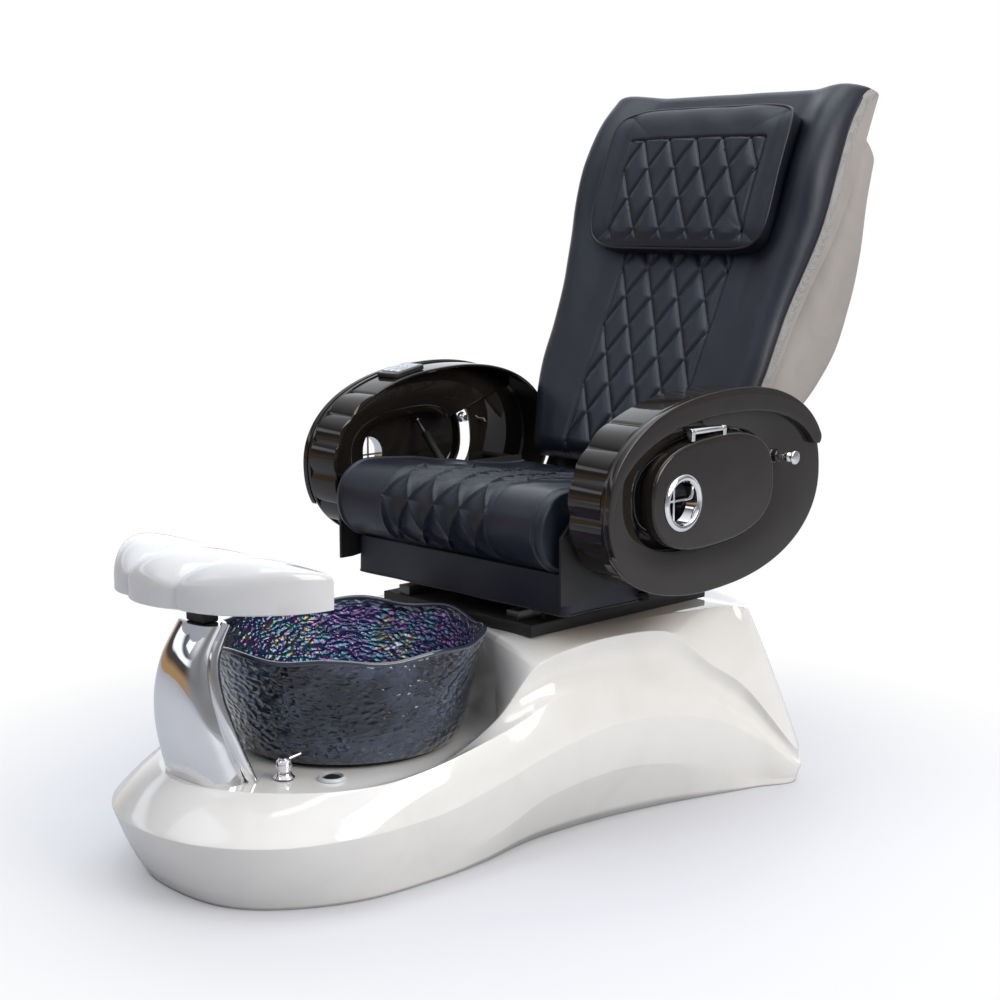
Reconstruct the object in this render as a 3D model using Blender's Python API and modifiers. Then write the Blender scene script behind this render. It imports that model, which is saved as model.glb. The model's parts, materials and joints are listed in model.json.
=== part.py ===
"""A pedicure spa chair: moulded base with a glass foot bowl, tilting footrest, sliding seat, reclining back
with a massage carriage inside, and two oval armrests with flip-out trays.

Metres, +Z up. The chair faces -Y, and +X is the sitter's left. The floor is z = 0.
"""

from math import cos, pi, radians, sin

import bmesh
import bpy
import numpy as np
from mathutils import Matrix, Vector

GAP = 0.0003  # running gap between pieces that touch
OVERLAP = 0.001  # how far bars that are fused run into each other
PAST = 0.01  # how far a cutter runs past a face

# Base shell. Each line below is one crease of the left half, from the middle of the nose, along the side to
# the rear corner and on to the middle of the rear, as (x, y, z).
SHELL_WALL = 0.006
DECK_Z = 0.190
TOP_Z = 0.362
FLOOR_LINE = [
    (0, -0.972, 0), (0.110, -0.955, 0), (0.190, -0.890, 0), (0.250, -0.770, 0), (0.266, -0.620, 0),
    (0.262, -0.510, 0), (0.243, -0.370, 0), (0.252, -0.210, 0), (0.280, -0.060, 0), (0.312, 0.050, 0),
    (0.342, 0.150, 0), (0.366, 0.248, 0), (0.200, 0.330, 0), (0, 0.345, 0),
]
KICK_LINE = [
    (0, -0.992, 0.030), (0.115, -0.972, 0.030), (0.198, -0.905, 0.030), (0.258, -0.780, 0.030),
    (0.275, -0.630, 0.035), (0.288, -0.510, 0.055), (0.297, -0.380, 0.098), (0.305, -0.220, 0.111),
    (0.316, -0.080, 0.095), (0.326, 0.040, 0.058), (0.342, 0.145, 0.020), (0.368, 0.251, 0.010),
    (0.201, 0.333, 0.030), (0, 0.348, 0.030),
]
LOWER_CREASE = [
    (0, -1.036, 0.125), (0.125, -1.010, 0.124), (0.228, -0.928, 0.124), (0.285, -0.800, 0.126),
    (0.302, -0.660, 0.130), (0.306, -0.520, 0.152), (0.311, -0.380, 0.184), (0.317, -0.220, 0.203),
    (0.328, -0.080, 0.192), (0.338, 0.040, 0.158), (0.352, 0.140, 0.105), (0.371, 0.254, 0.022),
    (0.203, 0.336, 0.070), (0, 0.351, 0.070),
]
DECK_EDGE = [
    (0, -0.962, DECK_Z), (0.085, -0.940, DECK_Z), (0.180, -0.870, DECK_Z), (0.248, -0.775, 0.192),
    (0.277, -0.660, 0.203), (0.284, -0.480, 0.234), (0.289, -0.330, 0.272), (0.296, -0.200, 0.268),
    (0.302, -0.080, 0.245), (0.318, 0.030, 0.203), (0.336, 0.125, 0.145), (0.372, 0.257, 0.034),
    (0.204, 0.338, 0.110), (0, 0.353, 0.110),
]
SHOULDER = [
    (0, -0.930, DECK_Z), (0.075, -0.905, DECK_Z), (0.160, -0.845, DECK_Z), (0.226, -0.750, DECK_Z),
    (0.252, -0.620, 0.196), (0.243, -0.468, 0.240), (0.272, -0.372, 0.338), (0.290, -0.220, 0.358),
    (0.293, -0.075, 0.345), (0.318, 0.030, 0.270), (0.338, 0.122, 0.205), (0.368, 0.256, 0.060),
    (0.200, 0.335, 0.160), (0, 0.350, 0.160),
]
TOP_EDGE = [
    (0, -0.860, DECK_Z), (0.060, -0.800, DECK_Z), (0.120, -0.720, DECK_Z), (0.170, -0.600, DECK_Z),
    (0.165, -0.440, DECK_Z), (0.150, -0.375, 0.200), (0.150, -0.362, TOP_Z), (0.230, -0.220, TOP_Z),
    (0.245, -0.050, TOP_Z), (0.268, 0.050, TOP_Z), (0.284, 0.120, TOP_Z), (0.290, 0.178, 0.352),
    (0.160, 0.238, 0.356), (0, 0.250, 0.356),
]
MIDDLE_LINE = [
    (0, -0.820, DECK_Z), (0, -0.760, DECK_Z), (0, -0.660, DECK_Z), (0, -0.520, DECK_Z),
    (0, -0.370, DECK_Z), (0, -0.325, DECK_Z), (0, -0.310, TOP_Z), (0, -0.200, TOP_Z),
    (0, -0.060, TOP_Z), (0, 0.040, TOP_Z), (0, 0.110, TOP_Z), (0, 0.160, TOP_Z),
    (0, 0.195, TOP_Z), (0, 0.225, TOP_Z),
]
SHELL_STEPS = 2  # grid columns between two points of a crease
BAND_STEPS = (1, 1, 2, 2, 2, 1)  # grid rows between one crease and the next
SHELL_BULGE = (0, 0.004, 0.010, -0.012, 0.006, 0)  # how far each band swells outwards, or in

FLOOR_GAP = 0.001  # the shell hangs this far above the floor; the feet carry the chair

# Frame under the shell
BASE_FRAME_X = 0.185
BASE_FRAME_FRONT, BASE_FRAME_REAR = -0.740, 0.140
BASE_TUBE = 0.025
UPRIGHT_X = 0.110
UPRIGHT_FRONT_Y, UPRIGHT_MIDDLE_Y, UPRIGHT_REAR_Y = -0.680, -0.220, 0.090
FOOT_H = 0.020
FOOT_R = 0.020

# Foot bowl
BOWL_Y = -0.600
BOWL_WALL = 0.007
BOWL_FOOT_R = 0.205
BOWL_RIM_R = 0.247
BOWL_HEIGHT = 0.186
BOWL_BELLY, BOWL_NECK = 0.511, 0.806  # where its wall bends, as shares of its height
BOWL_STEPS = 40
RIM_WAVES = 8
RIM_WAVE = 0.006
DRAIN_R = 0.022
GASKET_R = 0.175
GASKET_H = 0.004
GASKET_WIDTH = 0.012
DRAIN_TAIL = 0.070
JET_R = 0.034
JET_OFFSET = 0.100

# Deck fittings
MIXER_X, MIXER_Y = 0.115, -0.828
MIXER_R = 0.013
MIXER_H = 0.024
LEVER_LENGTH = 0.030
BUTTON_X, BUTTON_Y = 0.172, -0.772
BUTTON_R = 0.017
BUTTON_TRAVEL = 0.004
BEZEL_R = 0.024
BEZEL_H = 0.006
SHANK_DEPTH = 0.050
SHANK_R = 0.0075
WASHER_H = 0.002
LEVER_TURN = 15  # degrees from straight back

# Footrest: post stations as (z, middle y, half width, half depth)
POST_STATIONS = [
    (DECK_Z + GAP, -0.904, 0.090, 0.046), (0.235, -0.919, 0.084, 0.044), (0.290, -0.934, 0.076, 0.040),
    (0.345, -0.941, 0.063, 0.036), (0.400, -0.933, 0.052, 0.032), (0.452, -0.903, 0.050, 0.028),
]
POST_TOP_Z = POST_STATIONS[-1][0]
TILT_Y = POST_STATIONS[-1][1]
TILT_Z = 0.474
TILT_PIN_R = 0.006
HEAD_WIDTH = 0.050
PAD_BOTTOM_Z = 0.496
PAD_HALF_LENGTH = 0.240
PAD_FRONT_Y, PAD_REAR_Y = -1.020, -0.816
PAD_FRONT_WALL, PAD_END_WALL = 0.033, 0.056  # height of its wall in the middle of the front and at both ends
PAD_CREST = 0.083  # height of the lobes' crests
PAD_GROOVE = 0.016  # depth of the grooves between the lobes
PAD_SCALLOP = 0.014  # how far the front is drawn in at each groove
LOBE_PITCH = 0.138
PAD_LEAN = 0.6  # below 1, the crests lie nearer the front than the rear
PAD_END_FLAT = 0.003  # its pointed ends are cut off this far in
PAD_STEPS = 28

# Seat slide
PLATE_FRONT_Y, PLATE_REAR_Y = -0.338, 0.150
PLATE_HALF_WIDTH = 0.205
PLATE_THICK = 0.022
PLATE_WALL = 0.004
RAIL_X = 0.150
RAIL_WIDTH = 0.030
RAIL_H = 0.018
CARRIAGE_THICK = 0.008
RUNNER_H = 0.013
CARRIAGE_FRONT_Y, CARRIAGE_REAR_Y = -0.250, 0.135
CARRIAGE_HALF_WIDTH = 0.200
RUNNER_FRONT_Y, RUNNER_REAR_Y = -0.190, 0.050
RUNNER_WALL = 0.006
SLIDE_TUBE_R = 0.010
SLIDE_ROD_R = 0.006
SLIDE_TUBE_FRONT, SLIDE_TUBE_REAR = -0.090, 0.140
CABLE_X, CABLE_Y, CABLE_LOOP, CABLE_RISE = 0.182, -0.270, 0.014, 0.022
PLATE_Z = TOP_Z + GAP
RAIL_Z = PLATE_Z + PLATE_THICK + GAP
RUNNER_Z = RAIL_Z + RAIL_H + GAP
CARRIAGE_Z = RUNNER_Z + RUNNER_H
PAN_Z = CARRIAGE_Z + CARRIAGE_THICK + GAP
PAN_THICK = 0.014

# Seat
SEAT_HALF_WIDTH = 0.2830
SEAT_Z = PAN_Z + PAN_THICK + GAP
ROLL_Y, ROLL_Z, ROLL_R = -0.325, 0.565, 0.074
SEAT_REAR_Y, SEAT_REAR_Z = 0.125, 0.592
SEAT_CROWN = 0.008
VALANCE_THICK = 0.004
VALANCE_REAR_Y = -0.142
VALANCE_FOOT_Z = 0.414
QUILT_HALF_WIDTH = 0.125
QUILT_PITCH = 0.0625
QUILT_DEPTH = 0.004

# Side frames that carry the armrests and the back
FRAME_X = SEAT_HALF_WIDTH + 0.017
FRAME_THICK = 0.006
FRAME_FOOT_Z = PAN_Z
FRAME_HEAD_Z = 0.600
FRAME_LEGS = [(-0.135, -0.075), (0.080, 0.135)]  # from front to rear, in y
BOSS_R = 0.009
PIVOT_Y, PIVOT_Z = 0.110, 0.500
PIVOT_R = 0.006

# Back, in its own axes: x across, u up the back, n out of its front; its origin is the recline pivot
BACK_LEAN = 27.5  # degrees behind upright
BACK_FOOT_U, BACK_HEAD_U = 0.105, 0.945
BACK_WIDTHS = [(0.105, 0.240), (0.270, 0.290), (0.450, 0.301), (0.650, 0.328), (0.945, 0.320)]
CUSHION_N = 0.022  # where the cushion meets its shell
BACK_FACE = [  # how far out the cushion's face lies, as (u, middle, crest of the side bolsters, edge)
    (0.105, 0.074, 0.072, 0.048), (0.270, 0.080, 0.080, 0.054), (0.450, 0.082, 0.092, 0.060),
    (0.600, 0.086, 0.110, 0.068), (0.750, 0.096, 0.138, 0.086), (0.850, 0.098, 0.132, 0.086),
    (0.945, 0.080, 0.100, 0.064),
]
BACK_END = 0.006  # from the last seam row to the cushion's end
BACK_ROLL = 0.010  # how far the last seam row is drawn in
BACK_SHARES = (0.25, 0.50, 0.75, 0.90, 0.97, 1.0)  # columns beside the quilting, as shares of the way out
BOLSTER_START = 0.190
BOLSTER_INSET = 0.040  # from the bolster's crest to the cushion's edge
SHELL_FOOT_U, SHELL_HEAD_U = 0.200, 0.855
BACK_SHELL_DEPTHS = [
    (0.200, 0.105), (0.300, 0.140), (0.380, 0.172), (0.450, 0.188), (0.560, 0.166), (0.650, 0.134),
    (0.740, 0.102), (0.855, 0.082),
]
BACK_SHELL_WALL = 0.004
BACK_SHELL_INSET = 0.012
BACK_SHELL_CORNER = 0.040
ARM_X = SEAT_HALF_WIDTH + 0.0075  # inner face of the arms that reach the pivot
ARM_THICK = 0.006
CROSSBAR_U, CROSSBAR_N, CROSSBAR_R = 0.070, -0.020, 0.011
FRAME_BAR_X = 0.180
FRAME_BAR_R = 0.009
FRAME_BAR_N = -0.018
FRAME_BAR_HEAD_U = 0.835
STANDOFFS = (0.340, 0.780)
STANDOFF_R = 0.007
PILLOW_FOOT_U, PILLOW_HEAD_U = 0.530, 0.868
PILLOW_HALF_WIDTH = 0.232
PILLOW_THICK = 0.046
PILLOW_SEAMS = 0.026, 0.034  # its thickness at the seam round its edge, at its foot and its head

# Recline actuator
ACTUATOR_FOOT = (0.210, 0.440)  # y, z
ACTUATOR_HEAD_U, ACTUATOR_HEAD_N = 0.240, -0.035
ACTUATOR_R = 0.016
ACTUATOR_START = 0.014
ACTUATOR_BODY = 0.165
EYE_R = 0.011
ACTUATOR_ROD_R = 0.007
ACTUATOR_ROD_START = 0.105
EYE_HALF = 0.006
CLEVIS_PIN_R = 0.005
FORK_BAR_U = 0.290
CLEVIS_GAP = 0.002
CLEVIS_THICK = 0.004
CLEVIS_R = 0.012  # less than ACTUATOR_START, so the tube swings clear of it

# Massage unit inside the back
TRACK_X = 0.090
TRACK_R = 0.005
TRACK_N = -0.022
TRACK_FOOT_U, TRACK_HEAD_U = 0.330, 0.805
MASSAGE_U = 0.480
MASSAGE_LENGTH = 0.070
MASSAGE_HALF_WIDTH = 0.110
MASSAGE_REAR_N, MASSAGE_FRONT_N = -0.031, -0.0145
ROLLER_R = 0.016
ROLLER_N = 0.003
ROLLER_X, ROLLER_WIDTH = 0.045, 0.020
AXLE_R = 0.004
EAR_X, EAR_THICK = 0.078, 0.006

# Armrest, in the plane of its oval: y forwards negative, z up
ARM_Y, ARM_Z = -0.062, 0.6235
ARM_HALF_LENGTH, ARM_HALF_HEIGHT = 0.302, 0.178
ARM_TILT = 4.0
OVAL_POWER = 2.25
ARM_INNER_X = FRAME_X + 0.019
ARM_OUTER_X = ARM_INNER_X + 0.086
ARM_WALL = 0.006
ARM_PLATE = 0.010
RIB_START, RIB_SPAN, RIB_COUNT = 126, 18, 5  # degrees round the oval from its rear end
RIB_H = 0.007
VISOR_THICK = 0.012
VISOR_WIDTH = 0.042
VISOR_OVERHANG = 0.003
VISOR_START, VISOR_END = 10, 195  # degrees round the oval
TRAY_Y, TRAY_Z = -0.110, 0.632
TRAY_HALF_LENGTH = ARM_HALF_LENGTH - 0.134
TRAY_HALF_HEIGHT = ARM_HALF_HEIGHT - 0.080
TRAY_POWER = 2.6
TRAY_IN_X = ARM_OUTER_X + 0.005
TRAY_OUT_X = TRAY_IN_X + 0.028
TRAY_SKIN = 0.006
TRAY_RIM = 0.006
OPENING_SIDE, OPENING_TOP = 0.020, 0.005  # room round the tray, along and above it
CUP_Y = TRAY_Y - TRAY_HALF_LENGTH + 0.078
CUP_Z = TRAY_Z - 0.012
CUP_R = 0.040
CUP_LIP = 0.010
CUP_WALL = 0.003
HINGE_X = ARM_OUTER_X + 0.026
HINGE_Z = TRAY_Z + TRAY_HALF_HEIGHT + 0.011
HINGE_Y, HINGE_LENGTH = -0.130, 0.076
HINGE_R = 0.006
HINGE_PIN_R = 0.003
HINGE_EAR = 0.009
KNOB_Y = TRAY_Y + TRAY_HALF_LENGTH + 0.040
KNOB_Z = 0.672
KNOB_ROD_R = 0.004
KNOB_BOSS_R = 0.012
KNOB_BOSS_H = 0.012
STAY_FOOT = (FRAME_X + 0.022, -0.060, 0.580)
STAY_RISE = 46  # degrees above level
STAY_R = 0.004
STAY_LENGTH = 0.141
STAY_TUBE_R = 0.008
STAY_TUBE = 0.105
STAY_BALL_R = 0.0065

# Bosses of the side frames inside the armrests, as (y, z)
BOSSES = [
    (ARM_Y - ARM_HALF_LENGTH + 0.036, 0.590), (TRAY_Y, ARM_Z - ARM_HALF_HEIGHT + 0.0345),
    (FRAME_LEGS[1][1] - 0.017, 0.590),
]
FRAME_FRONT_Y = BOSSES[0][0] - 0.039

# Keypad on the right armrest
KEYPAD_ANGLE = 103  # degrees round the oval
KEYPAD_LENGTH, KEYPAD_WIDTH, KEYPAD_THICK = 0.084, 0.066, 0.010
KEY_COUNT = 3
KEY_TRAVEL = 0.001
KEY_PITCH, KEY_HALF = 0.018, 0.006
KEYPAD_LIFT = -0.0002

ORIGIN_Y = -0.2389  # the chair's middle, front to rear, where its origin is moved to
PARTS = "pedicure_spa_chair"
CUTTERS = "cutters"
DEEP = 0.2  # how far a cutter runs past what it cuts


def clear_scene():
    for old in list(bpy.data.objects):
        bpy.data.objects.remove(old)
    for name in (PARTS, CUTTERS):
        bpy.context.scene.collection.children.link(bpy.data.collections.new(name))


def material(name, colour, roughness, metallic=0.0):
    made = bpy.data.materials.new(name)
    made.use_nodes = True
    shader = made.node_tree.nodes["Principled BSDF"]
    shader.inputs["Base Color"].default_value = (*colour, 1)
    shader.inputs["Roughness"].default_value = roughness
    shader.inputs["Metallic"].default_value = metallic
    return made


def add(name, mesh, finish=None, under=None):
    """A new object in the parts collection, or a cutter where it has no finish."""
    made = bpy.data.objects.new(name, mesh)
    if finish:
        mesh.materials.clear()
        mesh.materials.append(finish)
        bpy.data.collections[PARTS].objects.link(made)
    else:
        bpy.data.collections[CUTTERS].objects.link(made)
        made.hide_render = True
        made.display_type = "WIRE"
    if under:
        made.parent = under
    return made


def mesh_of(name, form):
    """The mesh of a bmesh, with its normals out and its round faces smooth."""
    bmesh.ops.recalc_face_normals(form, faces=form.faces)
    mesh = bpy.data.meshes.new(name)
    form.to_mesh(mesh)
    form.free()
    return mesh


def smooth(made, degrees=35):
    made.data.shade_smooth()
    made.data.set_sharp_from_angle(angle=radians(degrees))
    return made


def box_form(low, high):
    form = bmesh.new()
    size = Vector(high) - Vector(low)
    middle = (Vector(high) + Vector(low)) / 2
    bmesh.ops.create_cube(form, size=1, matrix=Matrix.Translation(middle) @ Matrix.Diagonal((*size, 1)))
    return form


def box(name, low, high, finish=None, under=None, bevel=0.0):
    made = add(name, mesh_of(name, box_form(low, high)), finish, under)
    if bevel:
        add_bevel(made, bevel)
    return made


def add_bevel(made, width, segments=2):
    step = made.modifiers.new("rounded", "BEVEL")
    step.width = width
    step.segments = segments
    step.limit_method = "ANGLE"
    return made


AXES = {
    "-X": Matrix(((0, 0, -1), (1, 0, 0), (0, -1, 0))).to_4x4(),
    "X": Matrix(((0, 0, 1), (1, 0, 0), (0, 1, 0))).to_4x4(),
    "Y": Matrix(((1, 0, 0), (0, 0, -1), (0, 1, 0))).to_4x4(),
    "Z": Matrix.Identity(4),
}


def rod(name, start, end, radius, finish=None, under=None, segments=12, tip=None):
    """A straight round bar from one point to another; tip is its radius at the end, if it tapers."""
    start, end = Vector(start), Vector(end)
    along = end - start
    turn = along.to_track_quat("Z", "Y").to_matrix().to_4x4()
    form = bmesh.new()
    bmesh.ops.create_cone(
        form, cap_ends=True, segments=segments, radius1=radius, radius2=radius if tip is None else tip,
        depth=along.length, matrix=Matrix.Translation((start + end) / 2) @ turn,
    )
    return smooth(add(name, mesh_of(name, form), finish, under))


def plate(name, outline, axis, start, end, finish=None, under=None):
    """A flat outline made solid from start to end along an axis. Its points are (y, z), (x, z) or (x, y)."""
    curve = bpy.data.curves.new(name, "CURVE")
    curve.dimensions = "2D"
    curve.fill_mode = "BOTH"
    curve.extrude = abs(end - start) / 2
    spline = curve.splines.new("POLY")
    spline.points.add(len(outline) - 1)
    for point, (a, b) in zip(spline.points, outline):
        point.co = (a, b, 0, 1)
    spline.use_cyclic_u = True
    drawn = bpy.data.objects.new(name, curve)
    bpy.data.collections[CUTTERS].objects.link(drawn)
    bpy.context.view_layer.update()
    mesh = bpy.data.meshes.new_from_object(drawn.evaluated_get(bpy.context.evaluated_depsgraph_get()))
    bpy.data.objects.remove(drawn)
    form = bmesh.new()
    form.from_mesh(mesh)
    bmesh.ops.remove_doubles(form, verts=form.verts, dist=1e-5)
    middle = (start + end) / 2
    shift = {"X": (middle, 0, 0), "Y": (0, middle, 0), "Z": (0, 0, middle)}[axis]
    bmesh.ops.transform(form, matrix=Matrix.Translation(shift) @ AXES[axis], verts=form.verts)
    return smooth(add(name, mesh_of(name, form), finish, under))


def turned(name, profile, place, axis="Z", finish=None, under=None, steps=20, ring=False):
    """A solid of revolution. The profile is (radius, height) from top to bottom down its outer side.

    A ring's profile closes on itself, up its inner side.
    """
    mesh = bpy.data.meshes.new(name)
    edges = [(i, i + 1) for i in range(len(profile) - 1)]
    if ring:
        edges.append((len(profile) - 1, 0))
    mesh.from_pydata([(r, 0, h) for r, h in profile], edges, [])
    made = add(name, mesh, finish, under)
    made.matrix_local = Matrix.Translation(place) @ AXES[axis]
    screw = made.modifiers.new("turned", "SCREW")
    screw.steps = steps
    screw.render_steps = steps
    screw.use_merge_vertices = True
    screw.merge_threshold = 0.0001
    screw.use_smooth_shade = True
    return made


def loft(name, loops, finish=None, under=None, closed=False):
    """A solid through loops of equally many points. Its end loops are capped, unless it closes on itself."""
    form = bmesh.new()
    rows = [[form.verts.new(point) for point in loop] for loop in loops]
    pairs = list(zip(rows, rows[1:] + rows[:1])) if closed else list(zip(rows, rows[1:]))
    for near, far in pairs:
        for i in range(len(near)):
            j = (i + 1) % len(near)
            form.faces.new((near[i], near[j], far[j], far[i]))
    if not closed:
        form.faces.new(rows[0])
        form.faces.new(rows[-1][::-1])
    return smooth(add(name, mesh_of(name, form), finish, under), 50)


def combine(made, other, operation):
    step = made.modifiers.new(operation.lower(), "BOOLEAN")
    step.operation = operation
    step.object = other
    step.solver = "EXACT"
    return made


def cut(made, *cutters):
    for cutter in cutters:
        combine(made, cutter, "DIFFERENCE")
    return made


def join(made, *others):
    """Fuses others, made without a finish, into one body with the first."""
    for other in others:
        combine(made, other, "UNION")
    return made


def pivot(name, place, lean=0.0):
    """An empty on a joint's axis."""
    made = bpy.data.objects.new(name, None)
    made.empty_display_size = 0.05
    made.location = place
    made.rotation_euler = (lean, 0, 0)
    bpy.data.collections[CUTTERS].objects.link(made)
    return made


def hang(axis_empty, *pieces):
    """Parents pieces that are built in world axes to an empty that isn't turned."""
    for piece in pieces:
        piece.parent = axis_empty
        piece.matrix_parent_inverse = Matrix.Translation(-axis_empty.location)


def spline_through(points, steps, mirrored=True):
    """A smooth line through points; heights never overshoot, and its ends meet the mirror plane squarely."""
    points = np.array(points, float)
    flip = np.array([-1, 1, 1]) if mirrored else np.ones(3)
    before = points[1] * flip if mirrored else 2 * points[0] - points[1]
    after = points[-2] * flip if mirrored else 2 * points[-1] - points[-2]
    whole = np.vstack([before, points, after])
    slopes = (whole[2:] - whole[:-2]) / 2
    rise = np.diff(whole[:, 2])
    same_way = rise[:-1] * rise[1:] > 0
    limit = 2 * np.minimum(abs(rise[:-1]), abs(rise[1:]))
    slopes[:, 2] = np.where(same_way, np.clip(slopes[:, 2], -limit, limit), 0)
    line = []
    for i in range(len(points) - 1):
        for t in np.arange(steps) / steps:
            line.append(
                (2 * t**3 - 3 * t**2 + 1) * points[i] + (t**3 - 2 * t**2 + t) * slopes[i]
                + (3 * t**2 - 2 * t**3) * points[i + 1] + (t**3 - t**2) * slopes[i + 1]
            )
    line.append(points[-1])
    return np.array(line)


def oval(centre, half_length, half_height, power, tilt, angles):
    """Points (y, z) of a superellipse, at angles in degrees from its rear end over its top."""
    turn = np.radians(angles)
    along = half_length * np.sign(np.cos(turn)) * abs(np.cos(turn)) ** (2 / power)
    up = half_height * np.sign(np.sin(turn)) * abs(np.sin(turn)) ** (2 / power)
    lean = radians(tilt)
    y = centre[0] + along * cos(lean) - up * sin(lean)
    z = centre[1] + along * sin(lean) + up * cos(lean)
    return np.stack([y, z], axis=1)


# ---------------------------------------------------------------- base


def shell_grid():
    """Rows of points over the left half of the base, from the floor up to the middle line."""
    creases = [
        spline_through(line, SHELL_STEPS)
        for line in (FLOOR_LINE, KICK_LINE, LOWER_CREASE, DECK_EDGE, SHOULDER, TOP_EDGE, MIDDLE_LINE)
    ]
    rows = []
    for low, high, count, swell in zip(creases, creases[1:], BAND_STEPS, SHELL_BULGE):
        along = np.gradient(low, axis=0)
        out = np.cross(along, high - low)
        out /= np.linalg.norm(out, axis=1)[:, None] + 1e-9
        reach = np.minimum(1, abs(high[:, 2] - low[:, 2]) / 0.05)[:, None]  # level bands stay flat
        for step in range(count):
            share = step / count
            row = low * (1 - share) + high * share + out * swell * sin(pi * share) * reach
            rows.append(row)
    rows.append(creases[-1])
    for row in rows:
        row[0, 0] = 0
        row[-1, 0] = 0
    return rows


def make_base_shell(white):
    form = bmesh.new()
    rows = [[form.verts.new(point) for point in row] for row in shell_grid()]
    for low, high in zip(rows, rows[1:]):
        for i in range(len(low) - 1):
            form.faces.new((low[i], low[i + 1], high[i + 1], high[i]))
    mesh = bpy.data.meshes.new("base_shell")
    form.to_mesh(mesh)
    form.free()
    shell = add("base_shell", mesh, white)
    half = shell.modifiers.new("other half", "MIRROR")
    half.merge_threshold = 0.0001
    wall = shell.modifiers.new("wall", "SOLIDIFY")
    wall.thickness = SHELL_WALL
    wall.offset = -1
    wall.use_even_offset = False
    below, above = DECK_Z - DEEP / 2, DECK_Z + PAST
    cut(
        shell,
        box("floor_cut", (-1, -2, -DEEP), (1, 1, FLOOR_GAP)),
        rod("mixer_cut", (MIXER_X, MIXER_Y, below), (MIXER_X, MIXER_Y, above), SHANK_R + 0.001),
        rod("button_cut", (BUTTON_X, BUTTON_Y, below), (BUTTON_X, BUTTON_Y, above), BUTTON_R + 0.001),
        rod("drain_cut", (0, BOWL_Y, below), (0, BOWL_Y, above), DRAIN_R + 0.004, segments=22),
    )
    smooth(shell, 30)


def make_base_frame(steel, rubber):
    """Steel tubes under the shell: a rectangle, uprights to the top and to the deck, and four feet."""
    half, front, rear, tube = BASE_FRAME_X, BASE_FRAME_FRONT, BASE_FRAME_REAR, BASE_TUBE
    low, high = FOOT_H + GAP, FOOT_H + GAP + tube
    frame = box("base_frame", (-half, front, low), (half, front + tube, high), steel)
    bars = [box("rear_bar", (-half, rear - tube, low), (half, rear, high))]
    under_top = TOP_Z - SHELL_WALL - GAP
    under_deck = DECK_Z - SHELL_WALL - GAP
    for side in (-1, 1):
        inner, outer = sorted((side * (half - tube), side * half))
        bars.append(box("side_bar", (inner, front, low), (outer, rear, high)))
    for y, top in ((UPRIGHT_REAR_Y, under_top), (UPRIGHT_MIDDLE_Y, under_top), (UPRIGHT_FRONT_Y, under_deck)):
        bars.append(box(
            "cross_bar", (-half + OVERLAP, y, low + OVERLAP), (half - OVERLAP, y + tube, high - OVERLAP),
        ))
        for x in (-UPRIGHT_X, UPRIGHT_X - tube):
            bars.append(box(
                "upright", (x, y + OVERLAP, low + 2 * OVERLAP), (x + tube, y + tube - OVERLAP, top),
            ))
    join(frame, *bars)
    profile = [(0, FOOT_H), (0.006, FOOT_H), (0.006, 0.010), (FOOT_R, 0.006), (FOOT_R, 0), (0, 0)]
    for name, x, y in (
        ("levelling_foot_front_left", 1, front), ("levelling_foot_front_right", -1, front),
        ("levelling_foot_rear_left", 1, rear - tube), ("levelling_foot_rear_right", -1, rear - tube),
    ):
        turned(name, profile, (x * (half - tube / 2), y + tube / 2, 0), finish=rubber, steps=12)


def make_bowl(glass, rubber, chrome, grey):
    """The glass foot bowl with its waved rim, its gasket, its drain and the jet's cover."""
    floor = DECK_Z + GASKET_H + 2 * GAP
    foot, rim, wall, height = BOWL_FOOT_R, BOWL_RIM_R, BOWL_WALL, BOWL_HEIGHT
    belly, neck = height * BOWL_BELLY, height * BOWL_NECK
    outer = [
        (DRAIN_R, 0), (foot - 0.025, 0), (foot - 0.004, 0.008), (foot + 0.006, 0.032), (foot + 0.020, belly),
        (rim - 0.008, neck), (rim, height),
    ]
    inner = [
        (rim - wall, height), (rim - 0.008 - wall, neck), (foot + 0.020 - wall, belly),
        (foot + 0.006 - wall, 0.036), (foot - 0.014, 0.014), (foot - 0.030, wall), (DRAIN_R, wall),
    ]
    loops = []
    for turn in np.arange(BOWL_STEPS) / BOWL_STEPS * 2 * pi:
        loop = []
        for radius, h in outer + inner:
            wave = RIM_WAVE * (h / height) ** 4 * cos(RIM_WAVES * turn)
            reach = radius + 0.5 * wave
            loop.append((reach * cos(turn), BOWL_Y + reach * sin(turn), floor + h + wave))
        loops.append(loop)
    loft("foot_bowl", loops, glass, closed=True)
    half = GASKET_WIDTH / 2
    outside, inside = GASKET_R + half, GASKET_R - half
    gasket = [(outside, GASKET_H), (outside, 0), (inside, 0), (inside, GASKET_H)]
    turned("bowl_gasket", gasket, (0, BOWL_Y, DECK_Z + GAP), finish=rubber, steps=32, ring=True)
    seat = floor + wall + GAP
    stem_end = DECK_Z - 0.020 - seat
    stem = DRAIN_R - 0.0005
    strainer = [(0, 0.004), (0.024, 0.003), (0.030, 0), (stem, 0), (stem, stem_end), (0, stem_end)]
    turned("drain_strainer", strainer, (0, BOWL_Y, seat), finish=chrome)
    tail_top = seat + stem_end - GAP
    rod("drain_tail", (0, BOWL_Y, tail_top - DRAIN_TAIL), (0, BOWL_Y, tail_top), DRAIN_R - 0.003, grey)
    cover = [(0, 0.014), (0.020, 0.013), (JET_R - 0.004, 0.009), (JET_R, 0.003), (JET_R, 0), (0, 0)]
    turned("jet_cover", cover, (0, BOWL_Y + JET_OFFSET, seat), finish=chrome)


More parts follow.
